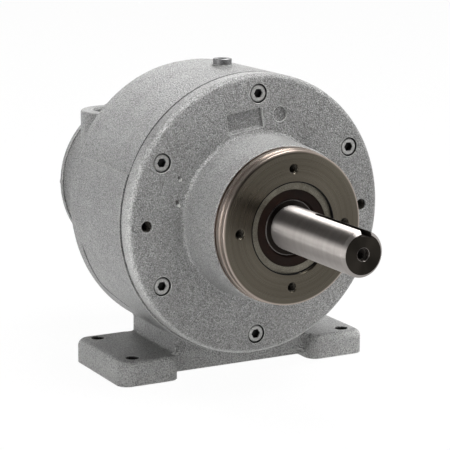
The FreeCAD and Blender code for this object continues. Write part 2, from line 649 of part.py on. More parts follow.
def cover_gasket():
    """Flat gasket between the drum and its cover, with a bar over the divider and a ring over the boss."""
    outer = rod(drum_radius, drum_rear, cover_front, z=drum_z)
    outer = outer.cut(rod(air_chamber_radius, drum_rear, cover_front, z=drum_z))
    inner = ring(BEARING_BOSS_DIAMETER / 2, REAR_BEARING_DIAMETER / 2, drum_rear, cover_front)
    bar = box((-DIVIDER_THICKNESS / 2, DIVIDER_THICKNESS / 2), (drum_rear, cover_front),
              (drum_z - drum_radius + DRUM_WALL / 2, drum_z + drum_radius - DRUM_WALL / 2))
    bar = bar.cut(rod((BEARING_BOSS_DIAMETER + REAR_BEARING_DIAMETER) / 4, drum_rear, cover_front))
    holes = [rod(COVER_SCREW_DIAMETER / 2 + SCREW_HOLE_CLEARANCE, drum_rear, cover_front, x, z)
             for x, z in cover_screw_places]
    return outer.fuse([inner, bar]).cut(holes).removeSplitter()


def shaft():
    """Stepped shaft: output end with keyway, seal journal, rotor seat and the two bearing journals."""
    rear_journal = REAR_BEARING_BORE / 2
    groove_radius = rear_journal - RETAINER_GROOVE_DEPTH
    bar = turned([
        (shaft_end, 0),
        (shaft_end, shaft_radius - SHAFT_END_CHAMFER),
        (shaft_end + SHAFT_END_CHAMFER, shaft_radius),
        (journal_front, shaft_radius),
        (journal_front, journal_radius - JOURNAL_CHAMFER),
        (journal_front + JOURNAL_CHAMFER, journal_radius),
        (front_bearing_front, journal_radius),
        (front_bearing_front, FRONT_BEARING_BORE / 2),
        (front_bearing_rear, FRONT_BEARING_BORE / 2),
        (front_bearing_rear, rotor_seat_radius),
        (rear_bearing_front, rotor_seat_radius),
        (rear_bearing_front, rear_journal),
        (rear_bearing_rear, rear_journal),
        (rear_bearing_rear, groove_radius),
        (retainer_rear, groove_radius),
        (retainer_rear, rear_journal),
        (shaft_tail, rear_journal),
        (shaft_tail, 0),
    ])
    floor = axis_height + shaft_radius - KEYWAY_DEPTH
    ceiling = axis_height + 2 * shaft_radius
    run = KEYWAY_LENGTH - KEYWAY_WIDTH / 2
    keyway = box((-KEYWAY_WIDTH / 2, KEYWAY_WIDTH / 2), (shaft_end, shaft_end + run), (floor, ceiling))
    round_end = Vector(0, shaft_end + run, floor)
    keyway = keyway.fuse(Part.makeCylinder(KEYWAY_WIDTH / 2, ceiling - floor, round_end))
    centre_hole = tapped_hole(CENTRE_HOLE_DIAMETER / 2, CENTRE_HOLE_CHAMFER, shaft_end,
                              shaft_end + CENTRE_HOLE_DEPTH)
    return bar.cut([turned_round(KEYWAY_ANGLE - 90, keyway), centre_hole])


def rotor():
    """Round rotor with one radial slot for each vane."""
    drum = ring(rotor_radius, rotor_seat_radius, -rotor_length / 2, rotor_length / 2)
    half_slot = VANE_THICKNESS / 2 + VANE_SIDE_CLEARANCE
    slot = box((vane_root - VANE_FLOOR_CLEARANCE, ROTOR_DIAMETER), (-rotor_length / 2, rotor_length / 2),
               (axis_height - half_slot, axis_height + half_slot))
    return drum.cut([turned_round(angle, slot) for angle in vane_angles])


def vane(angle):
    """Flat vane with a rounded tip, drawn back into its slot."""
    blade = box((vane_root, vane_tip), (-vane_length / 2, vane_length / 2),
                (axis_height - VANE_THICKNESS / 2, axis_height + VANE_THICKNESS / 2))
    at_tip = lambda edge: abs(edge.BoundBox.XMin - vane_tip) < 0.01
    along_tip = lambda edge: at_tip(edge) and edge.BoundBox.YLength > vane_length / 2
    return turned_round(angle, round_edges(blade, VANE_TIP_RADIUS, along_tip))


def ball_bearing(front, bore, outside, width, ball, count):
    """Deep groove ball bearing as four shapes: outer ring, inner ring, cage and balls."""
    rear = front + width
    middle = front + width / 2
    pitch_radius = (bore + outside) / 4
    centre = Vector(0, middle, axis_height)
    groove = Part.makeTorus(pitch_radius, ball / 2 + RACE_CLEARANCE, centre, ALONG_SHAFT)
    outer_ring = ring(outside / 2, pitch_radius + RACE_SHOULDER, front, rear).cut(groove)
    inner_ring = ring(pitch_radius - RACE_SHOULDER, bore / 2, front, rear).cut(groove)
    pocket_radius = ball / 2 + CAGE_POCKET_CLEARANCE
    half_cage = pocket_radius + CAGE_BAR
    cage = ring(pitch_radius + CAGE_THICKNESS / 2, pitch_radius - CAGE_THICKNESS / 2,
                middle - half_cage, middle + half_cage)
    pockets = []
    balls = []
    for index in range(count):
        angle = index * 360.0 / count
        pocket = Part.makeCylinder(pocket_radius, 2 * CAGE_THICKNESS,
                                   centre + Vector(pitch_radius - CAGE_THICKNESS, 0, 0), Vector(1, 0, 0))
        pockets.append(turned_round(angle, pocket))
        sphere = Part.makeSphere(ball / 2, centre + Vector(pitch_radius, 0, 0))
        balls.append(turned_round(angle, sphere))
    return outer_ring, inner_ring, cage.cut(pockets), Part.makeCompound(balls)


def preload_spring():
    """Conical disc spring between the rear bearing's outer ring and its seat."""
    outer = REAR_BEARING_DIAMETER / 2 - RACE_CLEARANCE
    inner = outer - SHOULDER_LIP
    slope = SPRING_HEIGHT - SPRING_THICKNESS
    return turned([
        (spring_front, inner),
        (spring_front + SPRING_THICKNESS, inner),
        (rear_bearing_front, outer),
        (spring_front + slope, outer),
    ])


def retaining_ring():
    """Open spring ring in the groove behind the rear bearing, with an eye at each end."""
    inner = REAR_BEARING_BORE / 2 - RETAINER_GROOVE_DEPTH
    outer = inner + RETAINER_HEIGHT
    band = ring(outer, inner, rear_bearing_rear, retainer_rear)
    half_gap = math.radians(RETAINER_GAP_ANGLE / 2)
    reach = 2 * outer
    corners = [AXIS_POINT + Vector(0, rear_bearing_rear, 0)]
    for sign in (-1, 1):
        corners.append(Vector(reach * math.sin(sign * half_gap), rear_bearing_rear,
                              axis_height - reach * math.cos(half_gap)))
    gap = Part.Face(Part.makePolygon(corners + corners[:1])).extrude(Vector(0, RETAINER_THICKNESS, 0))
    band = band.cut(gap)
    eye_angle = half_gap + RETAINER_EYE_SETBACK / inner
    eye_distance = inner + RETAINER_EYE_RISE
    for sign in (-1, 1):
        x = sign * eye_distance * math.sin(eye_angle)
        z = axis_height - eye_distance * math.cos(eye_angle)
        eye = rod(RETAINER_EYE_RADIUS, rear_bearing_rear, retainer_rear, x, z)
        eye = eye.cut(rod(inner, rear_bearing_rear, retainer_rear))
        hole = rod(RETAINER_EYE_HOLE_RADIUS, rear_bearing_rear, retainer_rear, x, z)
        band = band.fuse(eye).cut(hole)
    return band.removeSplitter()


def shaft_seal():
    """Rotary shaft seal as three shapes: steel case, rubber lip and garter spring."""
    window = SEAL_WINDOW_DIAMETER / 2
    inside = seal_radius - SEAL_CASE_WALL
    flange_inside = seal_front + SEAL_CASE_WALL
    case = turned([
        (seal_front, seal_radius),
        (seal_rear, seal_radius),
        (seal_rear, inside),
        (flange_inside, inside),
        (flange_inside, window),
        (seal_front, window),
    ])
    lip_radius = journal_radius + SEAL_LIP_GAP
    face = seal_front + SEAL_FACE_RECESS
    back = face + SEAL_CASE_WALL
    lip_end = seal_rear - SEAL_LIP_END_GAP
    crest = lip_radius + SEAL_LIP_HEIGHT
    lip_back = crest + SEAL_LIP_HEIGHT
    edge_station = lip_end - SEAL_LIP_HEIGHT
    lip = turned([
        (face, window),
        (face, lip_radius + SEAL_DUST_LIP_HEIGHT),
        (back, lip_radius),
        (back + SEAL_LIP_HEIGHT, crest),
        (edge_station, lip_radius),
        (lip_end, crest),
        (lip_end, lip_back),
        (back + SEAL_LIP_HEIGHT, lip_back),
        (back + SEAL_LIP_HEIGHT, inside),
        (flange_inside, inside),
        (flange_inside, window),
    ])
    garter = Part.makeTorus(lip_back + GARTER_WIRE / 2, GARTER_WIRE / 2, Vector(0, edge_station, axis_height),
                            ALONG_SHAFT)
    return case, lip, garter


nodes = {
    "body_casting": body_casting(),
    "drive_end_plate": drive_end_plate(),
    "dead_end_plate": dead_end_plate(),
    "rear_cover": rear_cover(),
    "top_plug": top_plug(),
    "drive_end_gasket": body_gasket(plate_inner, body_radius - GASKET_EDGE_RECESS, front_screw_places,
                                    front_dowel_places),
    "dead_end_gasket": body_gasket(body_rear, flange_radius - JOINT_GROOVE_DEPTH, rear_screw_places,
                                   rear_dowel_places),
    "cover_gasket": cover_gasket(),
    "shaft": shaft(),
    "rotor": rotor(),
    "bearing_preload_spring": preload_spring(),
    "shaft_retaining_ring": retaining_ring(),
}
for number, vane_angle in enumerate(vane_angles, 1):
    nodes["vane_%d" % number] = vane(vane_angle)

bearing_sizes = {
    "front_bearing": (front_bearing_front, FRONT_BEARING_BORE, FRONT_BEARING_DIAMETER, FRONT_BEARING_WIDTH,
                      FRONT_BALL_DIAMETER, FRONT_BALL_COUNT),
    "rear_bearing": (rear_bearing_front, REAR_BEARING_BORE, REAR_BEARING_DIAMETER, REAR_BEARING_WIDTH,
                     REAR_BALL_DIAMETER, REAR_BALL_COUNT),
}
for bearing_name, sizes in bearing_sizes.items():
    for piece_name, piece in zip(("outer_ring", "inner_ring", "cage", "balls"), ball_bearing(*sizes)):
        nodes[bearing_name + "_" + piece_name] = piece

for piece_name, piece in zip(("seal_case", "seal_lip", "seal_garter_spring"), shaft_seal()):
    nodes[piece_name] = piece

plate_screw = socket_screw(SCREW_DIAMETER, SCREW_HEAD_DIAMETER, SCREW_HEAD_HEIGHT, SCREW_SOCKET,
                           SCREW_SOCKET_DEPTH, SCREW_GRIP)
cover_screw = socket_screw(COVER_SCREW_DIAMETER, COVER_SCREW_HEAD_DIAMETER, COVER_SCREW_HEAD_HEIGHT,
                           COVER_SCREW_SOCKET, COVER_SCREW_SOCKET_DEPTH, COVER_SCREW_GRIP)
nodes["drive_end_screws"] = Part.makeCompound(
    [placed(plate_screw, x, front_head_seat, z) for x, z in front_screw_places])
nodes["dead_end_screws"] = Part.makeCompound(
    [placed(plate_screw, x, flange_rear, z, towards_front=True) for x, z in rear_screw_places])
nodes["cover_screws"] = Part.makeCompound(
    [placed(cover_screw, x, cover_rear, z, towards_front=True) for x, z in cover_screw_places])

dowels = []
for x, z in front_dowel_places:
    joint = (plate_inner + body_front) / 2
    dowels.append(rod(DOWEL_DIAMETER / 2, joint - DOWEL_LENGTH / 2, joint + DOWEL_LENGTH / 2, x, z))
for x, z in rear_dowel_places:
    joint = (flange_front + body_rear) / 2
    dowels.append(rod(DOWEL_DIAMETER / 2, joint - DOWEL_LENGTH / 2, joint + DOWEL_LENGTH / 2, x, z))
nodes["dowel_pins"] = Part.makeCompound(dowels)

os.makedirs("parts", exist_ok=True)
for node_name, shape in nodes.items():
    shape.exportStep("parts/%s.step" % node_name)
    facts = (node_name, len(shape.Solids), shape.Volume, shape.isValid())
    print("%-26s solids %2d  volume %10.1f mm3  valid %s" % facts)
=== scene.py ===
# %% [markdown]
# # Dressing an air vane motor for its picture
# The solids of the motor come ready made: castings, shaft, bearings, screws. This lesson gives them
# their finishes, cuts the threads that the solids leave plain, and sets up a small photo studio.
# Everything is built in code, so the same picture comes out each time the file is run.

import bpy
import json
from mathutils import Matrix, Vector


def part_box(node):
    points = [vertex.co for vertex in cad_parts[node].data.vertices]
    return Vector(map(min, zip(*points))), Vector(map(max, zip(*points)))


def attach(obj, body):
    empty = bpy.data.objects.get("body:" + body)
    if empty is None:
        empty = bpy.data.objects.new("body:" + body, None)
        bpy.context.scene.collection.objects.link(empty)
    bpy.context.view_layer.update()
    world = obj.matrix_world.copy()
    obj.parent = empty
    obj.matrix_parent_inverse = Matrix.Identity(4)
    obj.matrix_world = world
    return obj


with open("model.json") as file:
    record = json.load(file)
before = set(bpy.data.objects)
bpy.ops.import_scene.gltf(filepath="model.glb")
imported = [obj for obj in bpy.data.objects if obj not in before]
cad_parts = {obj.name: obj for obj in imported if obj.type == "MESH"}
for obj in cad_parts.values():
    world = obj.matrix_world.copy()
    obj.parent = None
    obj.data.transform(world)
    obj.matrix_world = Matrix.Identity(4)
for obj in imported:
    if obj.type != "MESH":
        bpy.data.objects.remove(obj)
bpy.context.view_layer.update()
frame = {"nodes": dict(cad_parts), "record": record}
nodes = frame["nodes"]

# %% [markdown]
# ## Sizes that the finishes need
# A finish often changes at a known place: paint stops where the lathe started, and a shaft's end is
# darker than its side. Those places are named here once, in metres, and measured on the frame where
# it can be done, so a pattern stays on its edge when the part changes.

# %% Places on the motor
import json
import math

import bpy
from mathutils import Matrix, Vector

MM = 0.001
seal_low, seal_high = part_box("seal_case")
AXIS_Z = (seal_low.z + seal_high.z) / 2
HUB_FACE_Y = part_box("drive_end_plate")[0].y
PLATE_FACE_Y = -43.5 * MM
BOSS_FRONT_Y = -74.5 * MM
BOSS_FRONT_RADIUS = 45.6 * MM
SCREW_CIRCLE_RADIUS = 70.65 * MM
SHAFT_END_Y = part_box("shaft")[0].y
SHAFT_RADIUS = 12.7 * MM
KEYWAY_FLOOR = 9.5 * MM
KEYWAY_HALF_WIDTH = 3.18 * MM
KEYWAY_ANGLE = math.radians(10)
KEYWAY_END_Y = SHAFT_END_Y + 50 * MM
JOURNAL_FACE_Y = HUB_FACE_Y + 2.85 * MM
BARREL_RADIUS = 82 * MM
print("shaft axis", round(AXIS_Z / MM, 2), "mm over the base, shaft end at", round(SHAFT_END_Y / MM, 2))

# %% [markdown]
# ## The camera
# The photograph was taken from the left of the shaft and a little above it, with a long lens. Its
# place was worked out from points that can be seen both in the picture and on the solids. A camera's
# matrix is three unit vectors, to its right, up and backwards, and its position.

# %% Camera at the photograph's place
LENS_MM = 146.51
SENSOR_MM = 36.0
AZIMUTH, ELEVATION, ROLL = (math.radians(angle) for angle in (-28.575, 12.155, 0.375))
DISTANCE = 1.0538
AIM = Vector((0, -43.5 * MM, 95.25 * MM))
AIM_SHIFT = (-18.68 * MM, -5.575 * MM)

level_reach = math.cos(ELEVATION)
backwards = Vector((math.sin(AZIMUTH) * level_reach, -math.cos(AZIMUTH) * level_reach, math.sin(ELEVATION)))
level_right = Vector((0, 0, 1)).cross(backwards).normalized()
level_up = backwards.cross(level_right)
right = level_right * math.cos(ROLL) + level_up * math.sin(ROLL)
up = level_up * math.cos(ROLL) - level_right * math.sin(ROLL)
position = AIM + right * AIM_SHIFT[0] + up * AIM_SHIFT[1] + backwards * DISTANCE

camera = bpy.data.objects.new("camera", bpy.data.cameras.new("camera"))
bpy.context.scene.collection.objects.link(camera)
camera.data.lens = LENS_MM
camera.data.sensor_width = SENSOR_MM
camera.matrix_world = Matrix((right, up, backwards)).transposed().to_4x4()
camera.location = position
bpy.context.scene.camera = camera
print("camera", [round(value, 3) for value in position])

# %% [markdown]
# ## Small helpers for shader trees
# A material is a graph of nodes. Adding each node by hand takes many lines, so `add` makes one node,
# fills its sockets and links those that are given another node's output. Colours are written as they
# look on a screen, and `linear` turns them into the values that a shader takes.

# %% Shader helpers
def linear(red, green, blue):
    """A colour as it looks on a screen, 0 to 255, as the linear values that a shader takes."""
    values = [value / 255 for value in (red, green, blue)]
    return tuple([((value + 0.055) / 1.055) ** 2.4 for value in values] + [1.0])


def add(tree, kind, sockets=None, **settings):
    """Adds a shader node and fills its sockets, by name or number, with values or links."""
    node = tree.nodes.new("ShaderNode" + kind)
    for key, value in settings.items():
        setattr(node, key, value)
    for key, value in (sockets or {}).items():
        if isinstance(value, bpy.types.NodeSocket):
            tree.links.new(value, node.inputs[key])
        else:
            node.inputs[key].default_value = value
    return node


print("mid grey as a shader takes it:", [round(value, 3) for value in linear(128, 128, 128)])

# %% [markdown]
# The next ones wrap the nodes that are used most: arithmetic, a ramp between two places, a blend of two
# colours or numbers, and a product of masks.

# %% Short forms for common nodes
def calc(tree, operation, first, second=0.0, clamp=False):
    """One step of arithmetic."""
    return add(tree, "Math", {0: first, 1: second}, operation=operation, use_clamp=clamp).outputs[0]


def band(tree, value, start, end):
    """A value that goes from 0 at start to 1 at end, and stays there."""
    return add(tree, "MapRange", {"Value": value, "From Min": start, "From Max": end}).outputs["Result"]


def blend_colour(tree, factor, first, second):
    """The first colour where factor is 0 and the second where it is 1."""
    mix = add(tree, "Mix", {0: factor, 6: first, 7: second}, data_type="RGBA")
    return mix.outputs[2]


def blend_value(tree, factor, first, second):
    """The same for a plain number."""
    return add(tree, "Mix", {0: factor, 2: first, 3: second}).outputs[0]


def product(tree, masks):
    """A mask that is 1 only where all the given masks are 1."""
    result = masks[0]
    for mask in masks[1:]:
        result = calc(tree, "MULTIPLY", result, mask)
    return result


print("short forms ready")

# %% [markdown]
# ## Effects as node groups
# Grain, turning marks, edges and dirt are used by several materials, so each one is a node group with
# named inputs. A group gives out only numbers and normals; the shader itself stays in the material.

# %% Group helper
def new_group(name, inputs, outputs):
    """An empty shader group: inputs as {name: default}, outputs as {name: socket type}."""
    tree = bpy.data.node_groups.new(name, "ShaderNodeTree")
    for label, default in inputs.items():
        kind = "NodeSocketFloat" if isinstance(default, float) else "NodeSocketVector"
        tree.interface.new_socket(label, in_out="INPUT", socket_type=kind).default_value = default
    for label, kind in outputs.items():
        tree.interface.new_socket(label, in_out="OUTPUT", socket_type="NodeSocket" + kind)
    return tree, tree.nodes.new("NodeGroupInput").outputs, tree.nodes.new("NodeGroupOutput").inputs


ORIGIN = (0.0, 0.0, 0.0)
print("group helper ready")

# %% [markdown]
# ### Pebbled casting skin
# The motor's castings are painted over a rough sand surface. Seen close, the paint is a field of
# small round pebbles a little under a millimetre wide. Smooth Voronoi cells give the pebbles, and a
# finer noise keeps them from looking like a tiling. The fleck output picks out single metal flakes.

# %% Casting skin group
def casting_skin_group():
    """Height of the pebbles, how deep a point lies between them, a slow mottle and bright flecks."""
    given_out = {"Height": "Float", "Valley": "Float", "Mottle": "Float", "Fleck": "Float"}
    tree, source, result = new_group("casting skin", {"Vector": ORIGIN, "Grain": 0.8 * MM}, given_out)
    per_grain = calc(tree, "DIVIDE", 1.0, source["Grain"])
    place = add(tree, "VectorMath", {0: source["Vector"], 3: per_grain}, operation="SCALE").outputs[0]
    warp = add(tree, "TexNoise", {"Vector": place, "Scale": 0.9, "Detail": 2.0}).outputs["Color"]
    warp = add(tree, "VectorMath", {0: warp, 3: 0.9}, operation="SCALE").outputs[0]
    crooked = add(tree, "VectorMath", {0: place, 1: warp}, operation="ADD").outputs[0]
    pebbles = add(tree, "TexVoronoi", {"Vector": crooked, "Scale": 1.0, "Smoothness": 0.35},
                  feature="SMOOTH_F1").outputs["Distance"]
    grit = add(tree, "TexNoise", {"Vector": place, "Scale": 1.4, "Detail": 4.0, "Roughness": 0.6})
    grit = grit.outputs["Fac"]
    height = calc(tree, "SUBTRACT", calc(tree, "MULTIPLY", grit, 0.9), pebbles)
    tree.links.new(height, result["Height"])
    tree.links.new(band(tree, height, 0.2, -0.35), result["Valley"])
    mottle = add(tree, "TexNoise", {"Vector": place, "Scale": 0.05, "Detail": 3.0}).outputs["Fac"]
    tree.links.new(band(tree, mottle, 0.3, 0.7), result["Mottle"])
    flakes = add(tree, "TexVoronoi", {"Vector": place, "Scale": 1.9}, feature="F1").outputs["Color"]
    flake = add(tree, "SeparateColor", {0: flakes}).outputs[0]
    tree.links.new(band(tree, flake, 0.5, 1.0), result["Fleck"])
    return tree


casting_skin = casting_skin_group()
print("group:", casting_skin.name)

# %% [markdown]
# ### Turning marks
# A lathe leaves rings on a face and bands on a cylinder. Distance from the axis changes across a face
# and stays put along a cylinder, while the place along the axis does the opposite. Their sum changes
# on both, so one noise along that sum marks every turned surface in the right direction.

# %% Turning marks group
def turning_marks_group():
    """Height of the tool marks and a slower change of tone from cut to cut."""
    tree, source, result = new_group("turning marks", {"Vector": ORIGIN, "Pitch": 0.4 * MM},
                                     {"Height": "Float", "Tone": "Float"})
    parts = add(tree, "SeparateXYZ", {0: source["Vector"]}).outputs
    over_axis = calc(tree, "SUBTRACT", parts[2], AXIS_Z)
    squared = calc(tree, "ADD", calc(tree, "MULTIPLY", parts[0], parts[0]),
                   calc(tree, "MULTIPLY", over_axis, over_axis))
    radius = calc(tree, "SQRT", squared)
    run = calc(tree, "DIVIDE", calc(tree, "SUBTRACT", radius, parts[1]), source["Pitch"])
    marks = add(tree, "TexNoise", {"W": run, "Scale": 1.0, "Detail": 3.0}, noise_dimensions="1D")
    tone = add(tree, "TexNoise", {"W": calc(tree, "MULTIPLY", run, 0.17), "Scale": 1.0, "Detail": 2.0},
               noise_dimensions="1D")
    tree.links.new(marks.outputs["Fac"], result["Height"])
    tree.links.new(tone.outputs["Fac"], result["Tone"])
    return tree


turning_marks = turning_marks_group()
print("group:", turning_marks.name)

# %% [markdown]
# Light that falls on turned metal spreads across the tool marks. That gives a shaft its long streaks
# and a turned face its fan of light. The direction across the marks lies in the surface and at right
# angles to the way round the axis, so two cross products find it. It feeds the shader's Tangent, while
# a group here gives out only colours, masks, values and normals, so a material gets these nodes itself.

# %% Lay of the cut
def lay_of_cut(tree, place):
    """Direction in the surface at right angles to the turning marks."""
    axis_point = add(tree, "CombineXYZ", {2: -AXIS_Z}).outputs[0]
    from_axis = add(tree, "VectorMath", {0: place, 1: axis_point}, operation="ADD").outputs[0]
    along = add(tree, "CombineXYZ", {1: 1.0}).outputs[0]
    around = add(tree, "VectorMath", {0: along, 1: from_axis}, operation="CROSS_PRODUCT").outputs[0]
    around = add(tree, "VectorMath", {0: around}, operation="NORMALIZE").outputs[0]
    own = add(tree, "NewGeometry").outputs["Normal"]
    return add(tree, "VectorMath", {0: around, 1: own}, operation="CROSS_PRODUCT").outputs[0]


print("lay of the cut ready")

# %% [markdown]
# ### Soft edges
# No real edge is perfectly sharp. The Bevel node looks at the faces nearby and returns a normal that
# turns smoothly round an edge. Where that normal differs from the surface's own, there is an edge, so
# the same node also gives a mask for a painted highlight along it.

# %% Soft edge group
def soft_edge_group():
    """A normal that rounds the edges, and a mask of where they are."""
    tree, source, result = new_group("soft edge", {"Radius": 0.4 * MM},
                                     {"Mask": "Float", "Normal": "Vector"})
    rounded = add(tree, "Bevel", {"Radius": source["Radius"]}, samples=6).outputs[0]
    own = add(tree, "NewGeometry").outputs["Normal"]
    same = add(tree, "VectorMath", {0: rounded, 1: own}, operation="DOT_PRODUCT").outputs["Value"]
    # the mask says where a painted highlight goes along an edge
    tree.links.new(band(tree, same, 0.99, 0.88), result["Mask"])
    tree.links.new(rounded, result["Normal"])
    return tree


soft_edge = soft_edge_group()
print("group:", soft_edge.name)

# %% [markdown]
# ### Dirt and nicks
# Handling leaves faint clouds of dirt, a thresholded noise. The plate's face also has three nicks left
# by the sand mould, each darkened with painted shade and with a painted highlight as a lip below it. A
# nick is a blob about one place, and a noise pulls its outline out of round.

# %% Dirt and nick groups
def dirt_group():
    """Clouds of dirt; Size is about the width of one cloud."""
    tree, source, result = new_group("dirt", {"Vector": ORIGIN, "Size": 30 * MM, "Amount": 0.5},
                                     {"Mask": "Float"})
    per_size = calc(tree, "DIVIDE", 1.0, source["Size"])
    place = add(tree, "VectorMath", {0: source["Vector"], 3: per_size}, operation="SCALE").outputs[0]
    cloud = add(tree, "TexNoise", {"Vector": place, "Scale": 1.0, "Detail": 6.0, "Roughness": 0.65})
    in_cloud = band(tree, cloud.outputs["Fac"], 0.48, 0.75)
    shown = calc(tree, "MULTIPLY", in_cloud, source["Amount"], clamp=True)
    tree.links.new(shown, result["Mask"])
    return tree


def nick_group():
    """One ragged nick at a place."""
    tree, source, result = new_group("nick", {"Vector": ORIGIN, "Place": ORIGIN, "Size": 1 * MM},
                                     {"Mask": "Float"})
    noise = add(tree, "TexNoise", {"Vector": source["Vector"], "Scale": 900.0, "Detail": 3.0})
    ragged = calc(tree, "SUBTRACT", noise.outputs["Fac"], 0.5)
    away = add(tree, "VectorMath", {0: source["Vector"], 1: source["Place"]}, operation="DISTANCE")
    share = calc(tree, "DIVIDE", away.outputs["Value"], source["Size"])
    pulled = calc(tree, "ADD", share, calc(tree, "MULTIPLY", ragged, 3.2))
    tree.links.new(band(tree, pulled, 1.05, 0.75), result["Mask"])
    return tree


dirt = dirt_group()
nick = nick_group()
print("groups:", dirt.name, nick.name)

# %% [markdown]
# ## Materials
# Each material is a short function. It reads Object coordinates, which are millimetre-true here
# because every piece keeps its place in its mesh, and ends in one Principled shader.

# %% Material helpers
def new_material(name, **plain):
    """An empty material with its shader; plain values are set straight on the shader's sockets."""
    material = bpy.data.materials.new(name)
    material.use_nodes = True
    tree = material.node_tree
    tree.nodes.clear()
    shader = add(tree, "BsdfPrincipled")
    for key, value in plain.items():
        shader.inputs[key.replace("_", " ")].default_value = value
    tree.links.new(shader.outputs[0], add(tree, "OutputMaterial").inputs[0])
    place = add(tree, "TexCoord").outputs["Object"]
    return material, tree, shader.inputs, place


def use(tree, group, sockets):
    """A node group placed in a material with this material's own values."""
    return add(tree, "Group", sockets, node_tree=group).outputs


def feed(tree, value, socket):
    """Links an output to a socket of the shader."""
    tree.links.new(value, socket)


def feed_bump(tree, shader, height, distance, strength, edge):
    """Feeds the shader a normal with soft edges, bumped by a height."""
    sockets = {"Height": height, "Distance": distance, "Strength": strength, "Normal": edge["Normal"]}
    feed(tree, add(tree, "Bump", sockets).outputs[0], shader["Normal"])


def places_round(tree, place):
    """A point's place across the shaft, along it and over its axis, and its distance from the axis."""
    across, along, height = add(tree, "SeparateXYZ", {0: place}).outputs
    on_axis = add(tree, "CombineXYZ", {1: along, 2: AXIS_Z}).outputs[0]
    radius = add(tree, "VectorMath", {0: place, 1: on_axis}, operation="DISTANCE").outputs["Value"]
    return across, along, calc(tree, "SUBTRACT", height, AXIS_Z), radius


print("material helpers ready")

# %% [markdown]
# ### Painted shade and dirt: joints, a shadow line and bolt holes
# Some dark places on a casting are too fine to model and too plain to miss. Each is painted through a
# mask, worked out from where a point lies round the shaft. The first is a painted shadow line, which
# runs low on the barrel's left side and bends to the front as it nears the foot.

# %% Shadow line mask
SHADOW_LINE_Y, SHADOW_LINE_END_Y = 23 * MM, 2 * MM
SHADOW_LINE_TOP, SHADOW_LINE_TURN, SHADOW_LINE_LOW = -21 * MM, -46 * MM, -59 * MM
SHADOW_LINE_WIDTH, SHADOW_LINE_SPREAD = 2.4 * MM, 3 * MM


def shadow_line(tree, place):
    """Mask of the painted shadow line, which starts at the side of the barrel and widens as it bends."""
    across, along, over_axis, radius = places_round(tree, place)
    bend = band(tree, over_axis, SHADOW_LINE_TURN, SHADOW_LINE_LOW)
    forward = calc(tree, "MULTIPLY", calc(tree, "POWER", bend, 1.7), SHADOW_LINE_Y - SHADOW_LINE_END_Y)
    behind = calc(tree, "SUBTRACT", along, calc(tree, "SUBTRACT", SHADOW_LINE_Y, forward))
    width = calc(tree, "ADD", SHADOW_LINE_WIDTH, calc(tree, "MULTIPLY", bend, SHADOW_LINE_SPREAD))
    # a dark line painted as shadow; the solid has no groove here
    return product(tree, [
        calc(tree, "GREATER_THAN", behind, 0.0),
        calc(tree, "LESS_THAN", behind, width),
        band(tree, over_axis, SHADOW_LINE_TOP, SHADOW_LINE_TOP - 6 * MM),
        calc(tree, "GREATER_THAN", over_axis, SHADOW_LINE_LOW),
        calc(tree, "LESS_THAN", radius, BARREL_RADIUS + 3 * MM),
        calc(tree, "LESS_THAN", across, 0.0),
    ])


print("groove from", round(-SHADOW_LINE_TOP / MM), "to", round(-SHADOW_LINE_LOW / MM), "mm below the shaft axis")

# %% [markdown]
# Shadow and dirt gather in the two joints between the body and its end plates, most of all on top. A
# noise makes the dark line ragged, and it fades out low down, where paint has filled the joint.

# %% Joint mask
JOINT_Y = 33.5 * MM
JOINT_REACH = 0.55 * MM


def joint_gap(tree, place):
    """Mask of the two joints round the body, ragged, widest on top and gone low down."""
    _, along, over_axis, radius = places_round(tree, place)
    from_joint = calc(tree, "ABSOLUTE", calc(tree, "SUBTRACT", calc(tree, "ABSOLUTE", along), JOINT_Y))
    ragged = add(tree, "TexNoise", {"Vector": place, "Scale": 260.0, "Detail": 2.0}).outputs["Fac"]
    on_top = band(tree, over_axis, 20 * MM, 60 * MM)
    not_low = band(tree, over_axis, -40 * MM, -20 * MM)
    reach = product(tree, [calc(tree, "ADD", ragged, on_top), not_low, JOINT_REACH])
    on_barrel = calc(tree, "LESS_THAN", radius, BARREL_RADIUS + 0.2 * MM)
    return calc(tree, "MULTIPLY", calc(tree, "LESS_THAN", from_joint, reach), on_barrel)


# %% [markdown]
# The walls of the bolt holes in the feet get painted shade, so they look black from above. Because the
# four lie evenly round the middle, taking the sign off a place folds them into one.

# %% Bolt hole mask
FOOT_HOLE_X, FOOT_HOLE_Y = 70.7 * MM, 23.8 * MM
FOOT_HOLE_REACH = 4.4 * MM
FOOT_TOP_Z = 14.5 * MM


def foot_holes(tree, place):
    """Mask of painted shade on the walls of the four bolt holes in the feet, which light hardly reaches."""
    across, along, height = add(tree, "SeparateXYZ", {0: place}).outputs
    aside = calc(tree, "SUBTRACT", calc(tree, "ABSOLUTE", across), FOOT_HOLE_X)
    behind = calc(tree, "SUBTRACT", calc(tree, "ABSOLUTE", along), FOOT_HOLE_Y)
    to_hole = add(tree, "CombineXYZ", {0: aside, 1: behind}).outputs[0]
    away = add(tree, "VectorMath", {0: to_hole}, operation="LENGTH").outputs["Value"]
    inside = calc(tree, "LESS_THAN", away, FOOT_HOLE_REACH)
    return calc(tree, "MULTIPLY", inside, band(tree, height, FOOT_TOP_Z - 0.3 * MM, FOOT_TOP_Z - 1.2 * MM))


print("bolt holes", round(2 * FOOT_HOLE_X / MM, 1), "by", round(2 * FOOT_HOLE_Y / MM, 1), "mm apart")

# %% [markdown]
# ### Silver-grey paint over a casting
# The paint is a mid grey with a little metal in it. It has painted shade between the pebbles, bright
# flecks, is a little browner where hands have been, and has a painted highlight and a softened normal at
# every edge. The layers lie over one another, so each is one more blend on top of the last.

